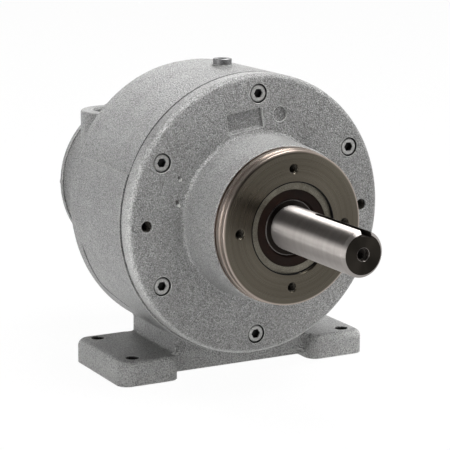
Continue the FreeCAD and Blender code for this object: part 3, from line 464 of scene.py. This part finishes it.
# %% Paint layers
PAINT_LIGHT = linear(154, 154, 153)
PAINT_DARK = linear(141, 141, 140)
PAINT_VALLEY_SHADE = linear(62, 62, 61)
FLECK_LIGHT = linear(236, 236, 235)
PAINTED_HIGHLIGHT = linear(228, 228, 226)
DIRT_BROWN = linear(104, 101, 98)
GAP_SHADE_AND_DIRT = linear(34, 33, 32)
PAINT_GRAIN = 0.8 * MM
PAINT_METAL = 0.6


def paint_layers(tree, place):
    """Colour, roughness, height and edges of the paint, for any material that shows it."""
    skin = use(tree, casting_skin, {"Vector": place, "Grain": PAINT_GRAIN})
    marks = use(tree, dirt, {"Vector": place, "Size": 35 * MM, "Amount": 0.2})
    edge = use(tree, soft_edge, {"Radius": 0.7 * MM})
    # painted shade and dirt in the joints, and the painted shadow line low on the barrel
    dark = calc(tree, "MAXIMUM", joint_gap(tree, place), shadow_line(tree, place))
    colour = blend_colour(tree, skin["Mottle"], PAINT_DARK, PAINT_LIGHT)
    # painted shade between the pebbles and a painted highlight on the edges; flecks and dirt are the paint's
    # own
    layers = [(skin["Valley"], 0.6, PAINT_VALLEY_SHADE), (skin["Fleck"], 0.4, FLECK_LIGHT),
              (marks["Mask"], 1.0, DIRT_BROWN), (edge["Mask"], 0.8, PAINTED_HIGHLIGHT), (dark, 1.0, GAP_SHADE_AND_DIRT)]
    for mask, strength, layer in layers:
        colour = blend_colour(tree, calc(tree, "MULTIPLY", mask, strength), colour, layer)
    roughness = calc(tree, "ADD", 0.37, calc(tree, "MULTIPLY", marks["Mask"], 0.3))
    return colour, roughness, skin["Height"], edge


def pebble_tops(tree, height, lowest, highest):
    """A share that grows from lowest between the pebbles to highest on their tops."""
    return blend_value(tree, band(tree, height, -0.2, 0.5), lowest, highest)


print("paint layers ready")

# %% [markdown]
# The feet's sides and rounded upper edges get a painted highlight, laid first on the tops of the
# pebbles. How far a face looks up says whether it is a side, an edge or the flat top.

# %% Cast paint
def foot_side_highlight(tree, place):
    """Mask of the feet's sides where a painted highlight goes, full on their rounded upper edges."""
    rise = add(tree, "SeparateXYZ", {0: add(tree, "NewGeometry").outputs["Normal"]}).outputs[2]
    on_foot = calc(tree, "LESS_THAN", add(tree, "SeparateXYZ", {0: place}).outputs[2], FOOT_TOP_Z)
    rounded = blend_value(tree, band(tree, rise, 0.1, 0.6), 0.5, 1.0)
    return product(tree, [on_foot, rounded, band(tree, rise, 0.97, 0.75)])


def cast_paint():
    """Paint of the body, the dead end plate and the rear cover."""
    material, tree, shader, place = new_material("silver_cast_paint", Metallic=PAINT_METAL)
    colour, roughness, height, edge = paint_layers(tree, place)
    # painted highlight on the feet's sides and upper edges, laid on the pebble tops
    highlight_share = calc(tree, "MULTIPLY", pebble_tops(tree, height, 0.15, 0.75), foot_side_highlight(tree, place))
    colour = blend_colour(tree, highlight_share, colour, PAINTED_HIGHLIGHT)
    # painted shade in the bolt holes
    feed(tree, blend_colour(tree, foot_holes(tree, place), colour, GAP_SHADE_AND_DIRT), shader["Base Color"])
    feed(tree, roughness, shader["Roughness"])
    feed_bump(tree, shader, height, 0.9 * MM, 1.0, edge)
    return material


silver_cast_paint = cast_paint()
print("material:", silver_cast_paint.name)

# %% [markdown]
# ### The drive end plate: paint and bare machined iron in one casting
# The hub was turned after painting, so the paint stops at the front edge of the boss. The painted part
# has three nicks in its face and a painted highlight on its rim low down.

# %% Paint of the plate
NICK_SHADE = linear(52, 50, 48)
NICKS = [((-50.7, 26.1), 1.1), ((-52.0, 12.0), 1.3), ((-62.0, -9.4), 0.45)]
LIP_SHIFT = Vector((0.8, 0, -1))


def plate_paint(tree, place, over_axis, radius):
    """Paint layers with nicks in painted shade, a painted highlight below each, and one low on the rim."""
    colour, roughness, height, edge = paint_layers(tree, place)
    nicks, lip_highlights = 0.0, 0.0
    for (x, z), size in NICKS:
        spot = Vector((x * MM, PLATE_FACE_Y, AXIS_Z + z * MM))
        lip_spot = spot + LIP_SHIFT * size * MM
        mask = use(tree, nick, {"Vector": place, "Place": spot, "Size": size * MM})["Mask"]
        lip = use(tree, nick, {"Vector": place, "Place": lip_spot, "Size": size * MM})["Mask"]
        nicks = calc(tree, "MAXIMUM", nicks, mask)
        lip_highlights = calc(tree, "MAXIMUM", lip_highlights, lip)
    # painted highlight as a lip below each nick, then painted shade in the nick
    colour = blend_colour(tree, calc(tree, "MULTIPLY", lip_highlights, 0.85), colour, PAINTED_HIGHLIGHT)
    colour = blend_colour(tree, calc(tree, "MULTIPLY", nicks, 0.9), colour, NICK_SHADE)
    height = calc(tree, "SUBTRACT", height, calc(tree, "MULTIPLY", nicks, 3.0))
    # painted highlight on the rim low down, laid on the pebble tops
    rim = band(tree, radius, BARREL_RADIUS - 2.2 * MM, BARREL_RADIUS - 0.6 * MM)
    low = band(tree, over_axis, 50 * MM, 10 * MM)
    highlight_share = product(tree, [rim, low, pebble_tops(tree, height, 0.2, 0.7)])
    return blend_colour(tree, highlight_share, colour, PAINTED_HIGHLIGHT), roughness, height, edge


print("nicks in the plate's face:", len(NICKS))

# %% [markdown]
# The turned iron is brown-grey on the hub's face, has a painted highlight on its nose, and is dark in
# the joint round the seal, where oil and shadow gather.

# %% Iron of the hub
HUB_BROWN = linear(76, 71, 62)
HUB_GREY = linear(92, 87, 78)
NOSE_HIGHLIGHT = linear(164, 152, 143)
NOSE_RADIUS = 42 * MM
SEAL_JOINT_RADIUS = 26.3 * MM
POCKET_DARK = linear(24, 24, 25)


def hub_iron(tree, along, radius, tone):
    """Colour of the turned iron, with a painted highlight on its nose."""
    iron = blend_colour(tree, tone, HUB_BROWN, HUB_GREY)
    nose = calc(tree, "MULTIPLY", band(tree, along, HUB_FACE_Y + 0.15 * MM, HUB_FACE_Y + 0.5 * MM),
                calc(tree, "GREATER_THAN", radius, NOSE_RADIUS))
    off_joint = calc(tree, "ABSOLUTE", calc(tree, "SUBTRACT", radius, SEAL_JOINT_RADIUS))
    # painted highlight on the nose
    iron = blend_colour(tree, nose, iron, NOSE_HIGHLIGHT)
    return blend_colour(tree, calc(tree, "LESS_THAN", off_joint, 0.35 * MM), iron, POCKET_DARK)


print("nose beyond", round(NOSE_RADIUS / MM), "mm, seal at", SEAL_JOINT_RADIUS / MM, "mm from the axis")

# %% [markdown]
# Paint and iron are built side by side in one material, and a mask made from the place along the axis
# and the distance from it picks one. A second mask finds the walls of the screw pockets, which are
# dark, because paint and light hardly reach them.

# %% Drive end plate
POCKET_RADIUS = 5.9 * MM


def plate_finish():
    """Paint, screw pockets and turned iron of the drive end plate."""
    material, tree, shader, place = new_material("paint_and_turned_iron", Anisotropic=0.6)
    _, along, over_axis, radius = places_round(tree, place)
    turned = use(tree, turning_marks, {"Vector": place, "Pitch": 0.5 * MM})
    colour, roughness, height, edge = plate_paint(tree, place, over_axis, radius)
    before_boss = band(tree, along, BOSS_FRONT_Y + 0.1 * MM, BOSS_FRONT_Y)
    within_boss = band(tree, radius, BOSS_FRONT_RADIUS - 0.6 * MM, BOSS_FRONT_RADIUS - 0.9 * MM)
    bare = calc(tree, "MULTIPLY", before_boss, within_boss)
    behind_face = band(tree, along, PLATE_FACE_Y + 0.5 * MM, PLATE_FACE_Y + 1.2 * MM)
    off_circle = calc(tree, "ABSOLUTE", calc(tree, "SUBTRACT", radius, SCREW_CIRCLE_RADIUS))
    pocket = calc(tree, "MULTIPLY", behind_face, calc(tree, "LESS_THAN", off_circle, POCKET_RADIUS))
    colour = blend_colour(tree, pocket, colour, POCKET_DARK)
    colour = blend_colour(tree, bare, colour, hub_iron(tree, along, radius, turned["Tone"]))
    iron_roughness = calc(tree, "ADD", 0.24, calc(tree, "MULTIPLY", turned["Height"], 0.08))
    relief = blend_value(tree, bare, height, calc(tree, "MULTIPLY", turned["Height"], 0.04))
    feed(tree, colour, shader["Base Color"])
    feed(tree, blend_value(tree, bare, roughness, iron_roughness), shader["Roughness"])
    feed(tree, blend_value(tree, bare, PAINT_METAL, 1.0), shader["Metallic"])
    feed(tree, lay_of_cut(tree, place), shader["Tangent"])
    feed_bump(tree, shader, relief, 0.5 * MM, 1.0, edge)
    return material


paint_and_turned_iron = plate_finish()
print("material:", paint_and_turned_iron.name)

# %% [markdown]
# ### The ground shaft
# The shaft's side is ground bright, its end face is turned and painted darker as shade, and the keyway
# is milled and dull, with painted shade in it. Distance from the axis tells the first two apart. The
# keyway is easier to find in a place that is first turned back until the keyway points straight up.

# %% Shaft masks
def in_keyway(tree, place, along, radius):
    """Mask of the keyway's floor and walls."""
    turned_back = add(tree, "VectorRotate", {0: place, 1: (0.0, 0.0, AXIS_Z), 2: (0.0, 1.0, 0.0),
                                             3: -KEYWAY_ANGLE}).outputs[0]
    across, _, height = add(tree, "SeparateXYZ", {0: turned_back}).outputs
    return product(tree, [
        band(tree, radius, SHAFT_RADIUS - 0.05 * MM, SHAFT_RADIUS - 0.2 * MM),
        calc(tree, "GREATER_THAN", calc(tree, "SUBTRACT", height, AXIS_Z), KEYWAY_FLOOR - 0.1 * MM),
        calc(tree, "LESS_THAN", calc(tree, "ABSOLUTE", across), KEYWAY_HALF_WIDTH + 0.1 * MM),
        calc(tree, "GREATER_THAN", along, SHAFT_END_Y + 0.1 * MM),
        calc(tree, "LESS_THAN", along, KEYWAY_END_Y + 0.1 * MM),
    ])


def in_centre_hole(tree, along, radius):
    """Mask of the hole in the shaft's end."""
    return calc(tree, "MULTIPLY", band(tree, radius, 3.9 * MM, 3.5 * MM),
                calc(tree, "GREATER_THAN", along, SHAFT_END_Y + 0.2 * MM))


print("keyway to", round(KEYWAY_END_Y / MM, 1), "mm along the shaft")

# %% [markdown]
# A ground bar mirrors the room in long streaks and not in points, which the shader's Anisotropic value
# gives, together with the lay of the cut.

# %% Shaft steel
SHAFT_LIGHT = linear(168, 163, 160)
SHAFT_SHADE = linear(148, 143, 139)
END_SHADE = linear(42, 39, 35)
STEP_SHADE = linear(38, 34, 31)
KEYWAY_SHADE = linear(54, 50, 47)


def shaft_finish():
    """Ground side; painted shade on the turned end face, the step at the seal and the dull keyway and hole.
    """
    material, tree, shader, place = new_material("ground_shaft_steel", Metallic=1.0, Anisotropic=0.97)
    _, along, _, radius = places_round(tree, place)
    turned = use(tree, turning_marks, {"Vector": place, "Pitch": 0.6 * MM})
    edge = use(tree, soft_edge, {"Radius": 0.3 * MM})
    end_face = band(tree, along, SHAFT_END_Y + 0.15 * MM, SHAFT_END_Y + 0.05 * MM)
    dull = calc(tree, "MAXIMUM", in_keyway(tree, place, along, radius), in_centre_hole(tree, along, radius))
    at_seal = band(tree, along, JOURNAL_FACE_Y - 0.5 * MM, JOURNAL_FACE_Y - 0.1 * MM)
    step_shade = calc(tree, "MULTIPLY", at_seal, band(tree, radius, 15.5 * MM, 15.2 * MM))
    colour = blend_colour(tree, turned["Tone"], SHAFT_SHADE, SHAFT_LIGHT)
    # painted shade: the end face, the step at the seal, and the keyway and centre hole
    for mask, layer in ((end_face, END_SHADE), (step_shade, STEP_SHADE), (dull, KEYWAY_SHADE)):
        colour = blend_colour(tree, mask, colour, layer)
    feed(tree, colour, shader["Base Color"])
    roughness = blend_value(tree, end_face, 0.42, 0.36)
    feed(tree, blend_value(tree, dull, roughness, 0.5), shader["Roughness"])
    feed(tree, lay_of_cut(tree, place), shader["Tangent"])
    height = calc(tree, "MULTIPLY", turned["Height"], blend_value(tree, end_face, 0.02, 0.4))
    feed_bump(tree, shader, height, 0.06 * MM, 0.4, edge)
    return material


ground_shaft_steel = shaft_finish()
print("material:", ground_shaft_steel.name)

# %% [markdown]
# ### Plainer metals, rubber and fibre
# The small pieces differ mostly in colour, roughness and how strongly they are marked, so two functions
# make nearly all of them: a metal with turning marks, and a grained solid such as rubber or cast steel.
# Even a piece deep inside gets its true finish, for whoever opens the motor.

# %% Makers of small piece finishes
SMALL_EDGE = 0.2 * MM


def metal_finish(name, light, dark, roughness, pitch, relief):
    """Metal with turning marks round the shaft axis."""
    material, tree, shader, place = new_material(name, Metallic=1.0)
    turned = use(tree, turning_marks, {"Vector": place, "Pitch": pitch})
    edge = use(tree, soft_edge, {"Radius": SMALL_EDGE})
    feed(tree, blend_colour(tree, turned["Tone"], linear(*dark), linear(*light)), shader["Base Color"])
    spread = calc(tree, "MULTIPLY", calc(tree, "SUBTRACT", turned["Height"], 0.5), 0.2)
    feed(tree, calc(tree, "ADD", roughness, spread), shader["Roughness"])
    feed_bump(tree, shader, turned["Height"], 0.03 * MM, relief, edge)
    return material


def grained_finish(name, light, dark, roughness, grain, relief, metallic=0.0, **plain):
    """Grained solid: rubber, vane composite, cast or phosphated steel."""
    material, tree, shader, place = new_material(name, Metallic=metallic, **plain)
    skin = use(tree, casting_skin, {"Vector": place, "Grain": grain})
    edge = use(tree, soft_edge, {"Radius": SMALL_EDGE})
    tone = calc(tree, "MULTIPLY", calc(tree, "ADD", skin["Fleck"], skin["Mottle"]), 0.5)
    feed(tree, blend_colour(tree, tone, linear(*dark), linear(*light)), shader["Base Color"])
    spread = calc(tree, "MULTIPLY", skin["Mottle"], 0.12)
    feed(tree, calc(tree, "ADD", roughness, spread), shader["Roughness"])
    feed_bump(tree, shader, skin["Height"], 0.05 * MM, relief, edge)
    return material


print("makers ready")

# %% [markdown]
# The gaskets need more: low on the motor the paint covers their dark outer edge, in the light colour of the
# painted highlight.

# %% Gasket finish
GASKET_EDGE_RADIUS = BARREL_RADIUS - 1.5 * MM


def gasket_finish():
    """Dark gasket fibre, its outer edge low on the motor covered in the painted highlight colour."""
    material, tree, shader, place = new_material("gasket_fibre", Roughness=0.7)
    _, _, over_axis, radius = places_round(tree, place)
    at_edge = calc(tree, "GREATER_THAN", radius, GASKET_EDGE_RADIUS)
    painted = calc(tree, "MULTIPLY", band(tree, over_axis, -15 * MM, -40 * MM), at_edge)
    skin = use(tree, casting_skin, {"Vector": place, "Grain": PAINT_GRAIN})
    fibre = blend_colour(tree, skin["Mottle"], linear(34, 33, 32), linear(62, 60, 58))
    # painted highlight on the gasket's outer edge low down
    feed(tree, blend_colour(tree, painted, fibre, PAINTED_HIGHLIGHT), shader["Base Color"])
    return material


print("gasket edge beyond", round(GASKET_EDGE_RADIUS / MM, 1), "mm from the axis")

# %% [markdown]
# Each finish is one row: its light and dark colour as seen on a screen, its roughness, the size of its
# marks or grain, and how strongly they stand out.

# %% Small piece finishes
finishes = {
    "gasket_fibre": gasket_finish(),
    "seal_steel": grained_finish("seal_case_steel", (138, 134, 122), (78, 74, 65), 0.38, 0.6 * MM, 0.8, 0.8),
    "seal_rubber": grained_finish("seal_rubber", (37, 21, 13), (20, 11, 7), 0.6, 0.6 * MM, 0.35,
                                  Specular_IOR_Level=0.12),
    "spring_steel": metal_finish("spring_steel", (120, 116, 110), (84, 80, 76), 0.35, 0.6 * MM, 0.3),
    "rotor_iron": metal_finish("rotor_iron", (150, 146, 140), (118, 114, 108), 0.3, 0.5 * MM, 0.4),
    "bearing_steel": metal_finish("bearing_steel", (206, 205, 202), (180, 178, 175), 0.14, 0.5 * MM, 0.15),
    "cage_brass": metal_finish("cage_brass", (196, 162, 92), (160, 128, 68), 0.3, 0.5 * MM, 0.3),
    "vane_composite": grained_finish("vane_composite", (92, 66, 40), (58, 40, 24), 0.55, 0.9 * MM, 0.4),
    "plug_steel": grained_finish("plug_steel", (150, 150, 150), (96, 96, 97), 0.42, 0.9 * MM, 0.4, 0.7),
    "ground_steel": metal_finish("dowel_steel", (190, 188, 184), (160, 157, 152), 0.22, 0.5 * MM, 0.2),
}
print("finishes:", sorted(finishes))

# %% [markdown]
# ### Socket screws
# The heads sit just under the painted face. Their tops are about as grey as the casting, but the
# hexagon sockets read as black holes, so everything deeper than a head's top gets painted shade.

# %% Screw finish
SCREW_GREY = linear(150, 150, 148)
SCREW_LIGHT = linear(188, 188, 186)
SOCKET_SHADE = linear(20, 20, 20)


def screw_finish(name, top_y, inwards):
    """Grey heads with painted shade in the sockets; inwards is 1 where heads face -Y and -1 where they face
    +Y.
    """
    material, tree, shader, place = new_material(name, Metallic=0.6)
    skin = use(tree, casting_skin, {"Vector": place, "Grain": PAINT_GRAIN})
    edge = use(tree, soft_edge, {"Radius": 0.3 * MM})
    along = add(tree, "SeparateXYZ", {0: place}).outputs[1]
    depth = calc(tree, "MULTIPLY", calc(tree, "SUBTRACT", along, top_y), inwards)
    deep = band(tree, depth, 0.75 * MM, 1.4 * MM)
    top = blend_colour(tree, skin["Fleck"], SCREW_GREY, SCREW_LIGHT)
    # painted shade below the head's top: the socket and the head's sides
    feed(tree, blend_colour(tree, deep, top, SOCKET_SHADE), shader["Base Color"])
    feed(tree, calc(tree, "ADD", 0.36, calc(tree, "MULTIPLY", skin["Mottle"], 0.1)), shader["Roughness"])
    feed_bump(tree, shader, skin["Height"], 0.05 * MM, 0.3, edge)
    return material


front_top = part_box("drive_end_screws")[0].y
rear_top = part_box("dead_end_screws")[1].y
cover_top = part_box("cover_screws")[1].y
screw_finishes = {
    "drive_end_screws": screw_finish("front_screw_steel", front_top, 1.0),
    "dead_end_screws": screw_finish("rear_screw_steel", rear_top, -1.0),
    "cover_screws": screw_finish("cover_screw_steel", cover_top, -1.0),
}
print("screw finishes:", len(screw_finishes))

# %% [markdown]
# ## Dress the solids
# The frame's record says which finish each solid takes. A solid keeps its mesh and only its material
# slots are filled. Five of them have a finish of their own that depends on where they are.

# %% Put the materials on
own_finish = {"drive_end_plate": paint_and_turned_iron, "shaft": ground_shaft_steel, **screw_finishes}
slot_of = {}
for entry in frame["record"]["subparts"]:
    slot_of[entry["node"]] = entry["material_slot"]


def dress(piece, material):
    """Gives a mesh one material in all its slots."""
    if not piece.data.materials:
        piece.data.materials.append(material)
    for slot in piece.material_slots:
        slot.material = material


for name, piece in nodes.items():
    slot = slot_of[name]
    material = own_finish.get(name) or finishes.get(slot) or silver_cast_paint
    dress(piece, material)
    print(name, "->", material.name)

# %% [markdown]
# ## Threads
# The solids keep their tapped holes plain, so the thread crests are made here. A circle of three
# corners is the profile, with one corner towards the axis. The Screw modifier winds it up along its
# hole, and both ends are closed. One crest is made for each size of hole and copied to the others,
# each copy with a mesh of its own. The crests start inside the countersink and end over the drill point.

# %% Thread maker
CREST_BITE = 0.12 * MM
TURN_STEPS = 20


def wind_thread(name, hole_radius, pitch, depth):
    """A thread crest round Z that runs from the origin down to -depth, in a hole of this radius."""
    side = pitch * 0.62
    middle = hole_radius + CREST_BITE - side / 4
    bpy.ops.object.select_all(action="DESELECT")
    bpy.ops.mesh.primitive_circle_add(vertices=3, radius=side / math.sqrt(3), location=(0, 0, 0),
                                      rotation=(math.radians(90), math.radians(-90), 0))
    thread = bpy.context.object
    bpy.ops.object.transform_apply(location=True, rotation=True, scale=True)
    bpy.ops.object.mode_set(mode="EDIT")
    bpy.ops.mesh.select_all(action="SELECT")
    bpy.ops.transform.translate(value=(middle, 0, -depth))
    bpy.ops.object.mode_set(mode="OBJECT")
    winding = thread.modifiers.new("winding", "SCREW")
    winding.axis = "Z"
    winding.screw_offset = pitch
    winding.iterations = max(int(depth / pitch), 1)
    winding.steps = winding.render_steps = TURN_STEPS
    bpy.ops.object.modifier_apply(modifier="winding")
    bpy.ops.object.mode_set(mode="EDIT")
    bpy.ops.mesh.select_all(action="SELECT")
    bpy.ops.mesh.fill_holes(sides=3)
    bpy.ops.mesh.normals_make_consistent(inside=False)
    bpy.ops.object.mode_set(mode="OBJECT")
    thread.name = name
    print(name, len(thread.data.polygons), "faces")
    return thread


print("crests stand", CREST_BITE / MM, "mm deep in the wall of the hole")

# %% [markdown]
# A thread moves with the piece that it is cut in, so it rides on that piece's body. Its place is applied
# to its mesh, which leaves the object at the origin, as the solids are.

# %% Thread placer
BODY_OF = {"drive_end_plate": "housing", "dead_end_plate": "housing", "shaft": "rotating_group"}


def place_thread(thread, place, turn, host, material, copy_name=""):
    """Puts a thread, or a copy of it, in its hole; turn tips its axis from Z to the hole's own."""
    bpy.ops.object.select_all(action="DESELECT")
    if copy_name:
        piece = thread.copy()
        piece.data = thread.data.copy()
        piece.name = copy_name
        bpy.context.scene.collection.objects.link(piece)
    else:
        piece = thread
    piece.select_set(True)
    bpy.context.view_layer.objects.active = piece
    piece.location = place
    piece.rotation_euler = turn
    bpy.ops.object.transform_apply(location=True, rotation=True, scale=True)
    dress(piece, material)
    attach(piece, BODY_OF[host])
    return piece


print("threads ride on", sorted(set(BODY_OF.values())))

# %% [markdown]
# Four threads in the hub, two in the rim for the jack screws, one in the shaft's end and two large
# ones in the air ports. A hole that opens to the front has its axis along Y, so its thread is tipped.

# %% Threads in their holes
TO_FRONT = (math.radians(90), 0, 0)
UPRIGHT = (0, 0, 0)
HUB_CIRCLE = 33.7 * MM
PORT_X, PORT_Y, PORT_TOP_Z = 38.6 * MM, 68.5 * MM, 144.25 * MM
THREADS = {
    "hub_thread": (2.5 * MM, 1.0 * MM, 11 * MM, TO_FRONT, "drive_end_plate",
                   [(HUB_CIRCLE * x, HUB_FACE_Y + 0.7 * MM, AXIS_Z + HUB_CIRCLE * z)
                    for x, z in ((1, 0), (0, 1), (-1, 0), (0, -1))]),
    "jack_thread": (3.2 * MM, 1.25 * MM, 8.2 * MM, TO_FRONT, "drive_end_plate",
                    [(x * SCREW_CIRCLE_RADIUS, PLATE_FACE_Y + 0.8 * MM, AXIS_Z) for x in (-1, 1)]),
    "shaft_thread": (3.2 * MM, 1.25 * MM, 16 * MM, TO_FRONT, "shaft", [(0, SHAFT_END_Y + 1.0 * MM, AXIS_Z)]),
    "port_thread": (12.1 * MM, 1.8 * MM, 20 * MM, UPRIGHT, "dead_end_plate",
                    [(x * PORT_X, PORT_Y, PORT_TOP_Z - 1.4 * MM) for x in (-1, 1)]),
}
thread_steel = {
    "drive_end_plate": metal_finish("thread_iron", (128, 124, 116), (88, 84, 78), 0.3, 0.6 * MM, 0.3),
    "dead_end_plate": grained_finish("thread_paint", (66, 66, 65), (44, 44, 43), 0.5, 0.8 * MM, 0.4),
    "shaft": metal_finish("thread_shaft_steel", (120, 116, 112), (84, 80, 76), 0.3, 0.6 * MM, 0.3),
}
for name, (hole_radius, pitch, depth, turn, host, places) in THREADS.items():
    thread = wind_thread(name, hole_radius, pitch, depth)
    copies = [place_thread(thread, place, turn, host, thread_steel[host], f"{name}_{number + 2}")
              for number, place in enumerate(places[1:])]
    place_thread(thread, places[0], turn, host, thread_steel[host])
    print(name, "in", 1 + len(copies), "holes")

# %% [markdown]
# ## The studio
# A pale floor, one strong soft lamp overhead and weaker ones behind, to the left and to the right give
# the soft modelling of a catalogue photograph. The sky lights the shadows. What the camera and the
# polished metal see of the floor and sky is white.

# %% Sky
WHITE = (1.0, 1.0, 1.0, 1.0)
SKY_LIGHT = 0.37
bpy.context.scene.view_settings.view_transform = "Standard"


def seen_directly(tree):
    """1 for rays from the camera and for mirror or glass rays, 0 for rays that light a surface."""
    path = add(tree, "LightPath").outputs
    mirror = calc(tree, "MAXIMUM", path["Is Glossy Ray"], path["Is Transmission Ray"])
    return calc(tree, "MAXIMUM", path["Is Camera Ray"], mirror)


world = bpy.data.worlds.new("studio_sky")
bpy.context.scene.world = world
world.use_nodes = True
world.node_tree.nodes.clear()
brightness = blend_value(world.node_tree, seen_directly(world.node_tree), SKY_LIGHT, 1.0)
sky = add(world.node_tree, "Background", {0: WHITE, 1: brightness})
world.node_tree.links.new(sky.outputs[0], add(world.node_tree, "OutputWorld").inputs[0])
print("sky light", SKY_LIGHT)

# %% [markdown]
# The floor is a matt sheet that nearly vanishes into the white sky: seen directly it mostly glows, and
# the small matt share that is left keeps the motor's shadow on it.

# %% Floor
FLOOR_GREY = (0.9, 0.9, 0.9, 1.0)
FLOOR_GLOW = 0.97
FLOOR_SIZE = 14.0
floor_material = bpy.data.materials.new("studio_floor")
floor_material.use_nodes = True
tree = floor_material.node_tree
tree.nodes.clear()
matt = add(tree, "BsdfDiffuse", {"Color": FLOOR_GREY})
glow = add(tree, "Emission", {"Color": WHITE, "Strength": 1.0})
shown_glow = calc(tree, "MULTIPLY", seen_directly(tree), FLOOR_GLOW)
mixed = add(tree, "MixShader", {0: shown_glow, 1: matt.outputs[0], 2: glow.outputs[0]})
tree.links.new(mixed.outputs[0], add(tree, "OutputMaterial").inputs[0])

bpy.ops.object.select_all(action="DESELECT")
bpy.ops.mesh.primitive_plane_add(size=FLOOR_SIZE, location=(0, 0, -0.02 * MM))
floor = bpy.context.object
floor.name = "studio_floor"
bpy.ops.object.transform_apply(location=True, rotation=True, scale=True)
dress(floor, floor_material)
print("floor", FLOOR_SIZE, "m wide")

# %% [markdown]
# ### A dark card behind the camera
# Polished metal is as dark or bright as what it reflects. A large dark card behind the camera gives the
# hub, the shaft's end and the plate's face their depth, as the dark side of a studio does. The camera
# itself looks through the cards, so they never stand in a picture taken from another side.

# %% Dark card
CARD_DARK = (0.05, 0.048, 0.045, 1.0)
card_material = bpy.data.materials.new("dark_card")
card_material.use_nodes = True
tree = card_material.node_tree
tree.nodes.clear()
matt = add(tree, "BsdfDiffuse", {"Color": CARD_DARK})
clear = add(tree, "BsdfTransparent")
from_camera = add(tree, "LightPath").outputs["Is Camera Ray"]
mixed = add(tree, "MixShader", {0: from_camera, 1: matt.outputs[0], 2: clear.outputs[0]})
tree.links.new(mixed.outputs[0], add(tree, "OutputMaterial").inputs[0])


def hang_card(name, width, height, middle, turn):
    """A dark card that belongs to the studio and not to the motor."""
    bpy.ops.object.select_all(action="DESELECT")
    bpy.ops.mesh.primitive_plane_add(size=1.0, location=middle, rotation=turn)
    card = bpy.context.object
    card.name = name
    card.scale = (width, height, 1.0)
    bpy.ops.object.transform_apply(location=True, rotation=True, scale=True)
    dress(card, card_material)
    print(name, width, "by", height, "m, at", [round(value, 2) for value in middle])


hang_card("dark_card", 4.4, 2.6, (0.6, -2.6, 1.3), (math.radians(90), 0, 0))

# %% [markdown]
# A second card hangs on the left behind the motor, tipped to face the shaft. The ground bar shows it as
# one dark band along its whole length, between two bright ones.

# %% Dark strip
STRIP_WIDTH, STRIP_LENGTH = 1.7, 4.6
STRIP_ANGLE = math.radians(118)
STRIP_AWAY, STRIP_Y = 1.3, 1.6
strip_x = STRIP_AWAY * math.cos(STRIP_ANGLE)
strip_z = AXIS_Z + STRIP_AWAY * math.sin(STRIP_ANGLE)
hang_card("dark_strip", STRIP_WIDTH, STRIP_LENGTH, (strip_x, STRIP_Y, strip_z),
          (0, math.radians(90) - STRIP_ANGLE, 0))

# %% [markdown]
# ### Soft lamps
# A lamp's size sets how soft its shadows are, and its direction which sides are bright. Each one is
# placed and then turned to look at the middle of the motor.

# %% Lamps
LAMP_AIM = Vector((0, -0.04, 0.09))
LAMPS = {
    "top_lamp": ((0.36, -0.15, 1.42), 0.8, 32.0),
    "back_lamp": ((0.6, 1.7, 0.95), 0.6, 3.0),
    "left_lamp": ((-1.45, -0.2, 0.3), 0.5, 6.0),
    "right_lamp": ((1.1, -1.1, 0.3), 0.6, 2.0),
}


def hang_lamp(name, place, size, power):
    """A square lamp that shines straight down until it is turned."""
    light = bpy.data.lights.new(name, "AREA")
    light.shape = "SQUARE"
    light.size = size
    light.energy = power
    lamp = bpy.data.objects.new(name, light)
    bpy.context.scene.collection.objects.link(lamp)
    lamp.location = place
    print(name, power, "W")
    return lamp


for name, (place, size, power) in LAMPS.items():
    lamp = hang_lamp(name, place, size, power)
    lamp.rotation_euler = (LAMP_AIM - Vector(place)).to_track_quat("-Z", "Y").to_euler()

# %% [markdown]
# One more lamp shines straight down on the floor beside the motor, out of the picture. What the floor
# throws back lights the low left side of the barrel and the foot, as a white table does.

# %% Lamp on the floor
FLOOR_LAMP_PLACE = (-0.58, -0.1, 0.4)
floor_lamp = hang_lamp("floor_lamp", FLOOR_LAMP_PLACE, 0.3, 90.0)
floor_lamp.data.spread = math.radians(35)
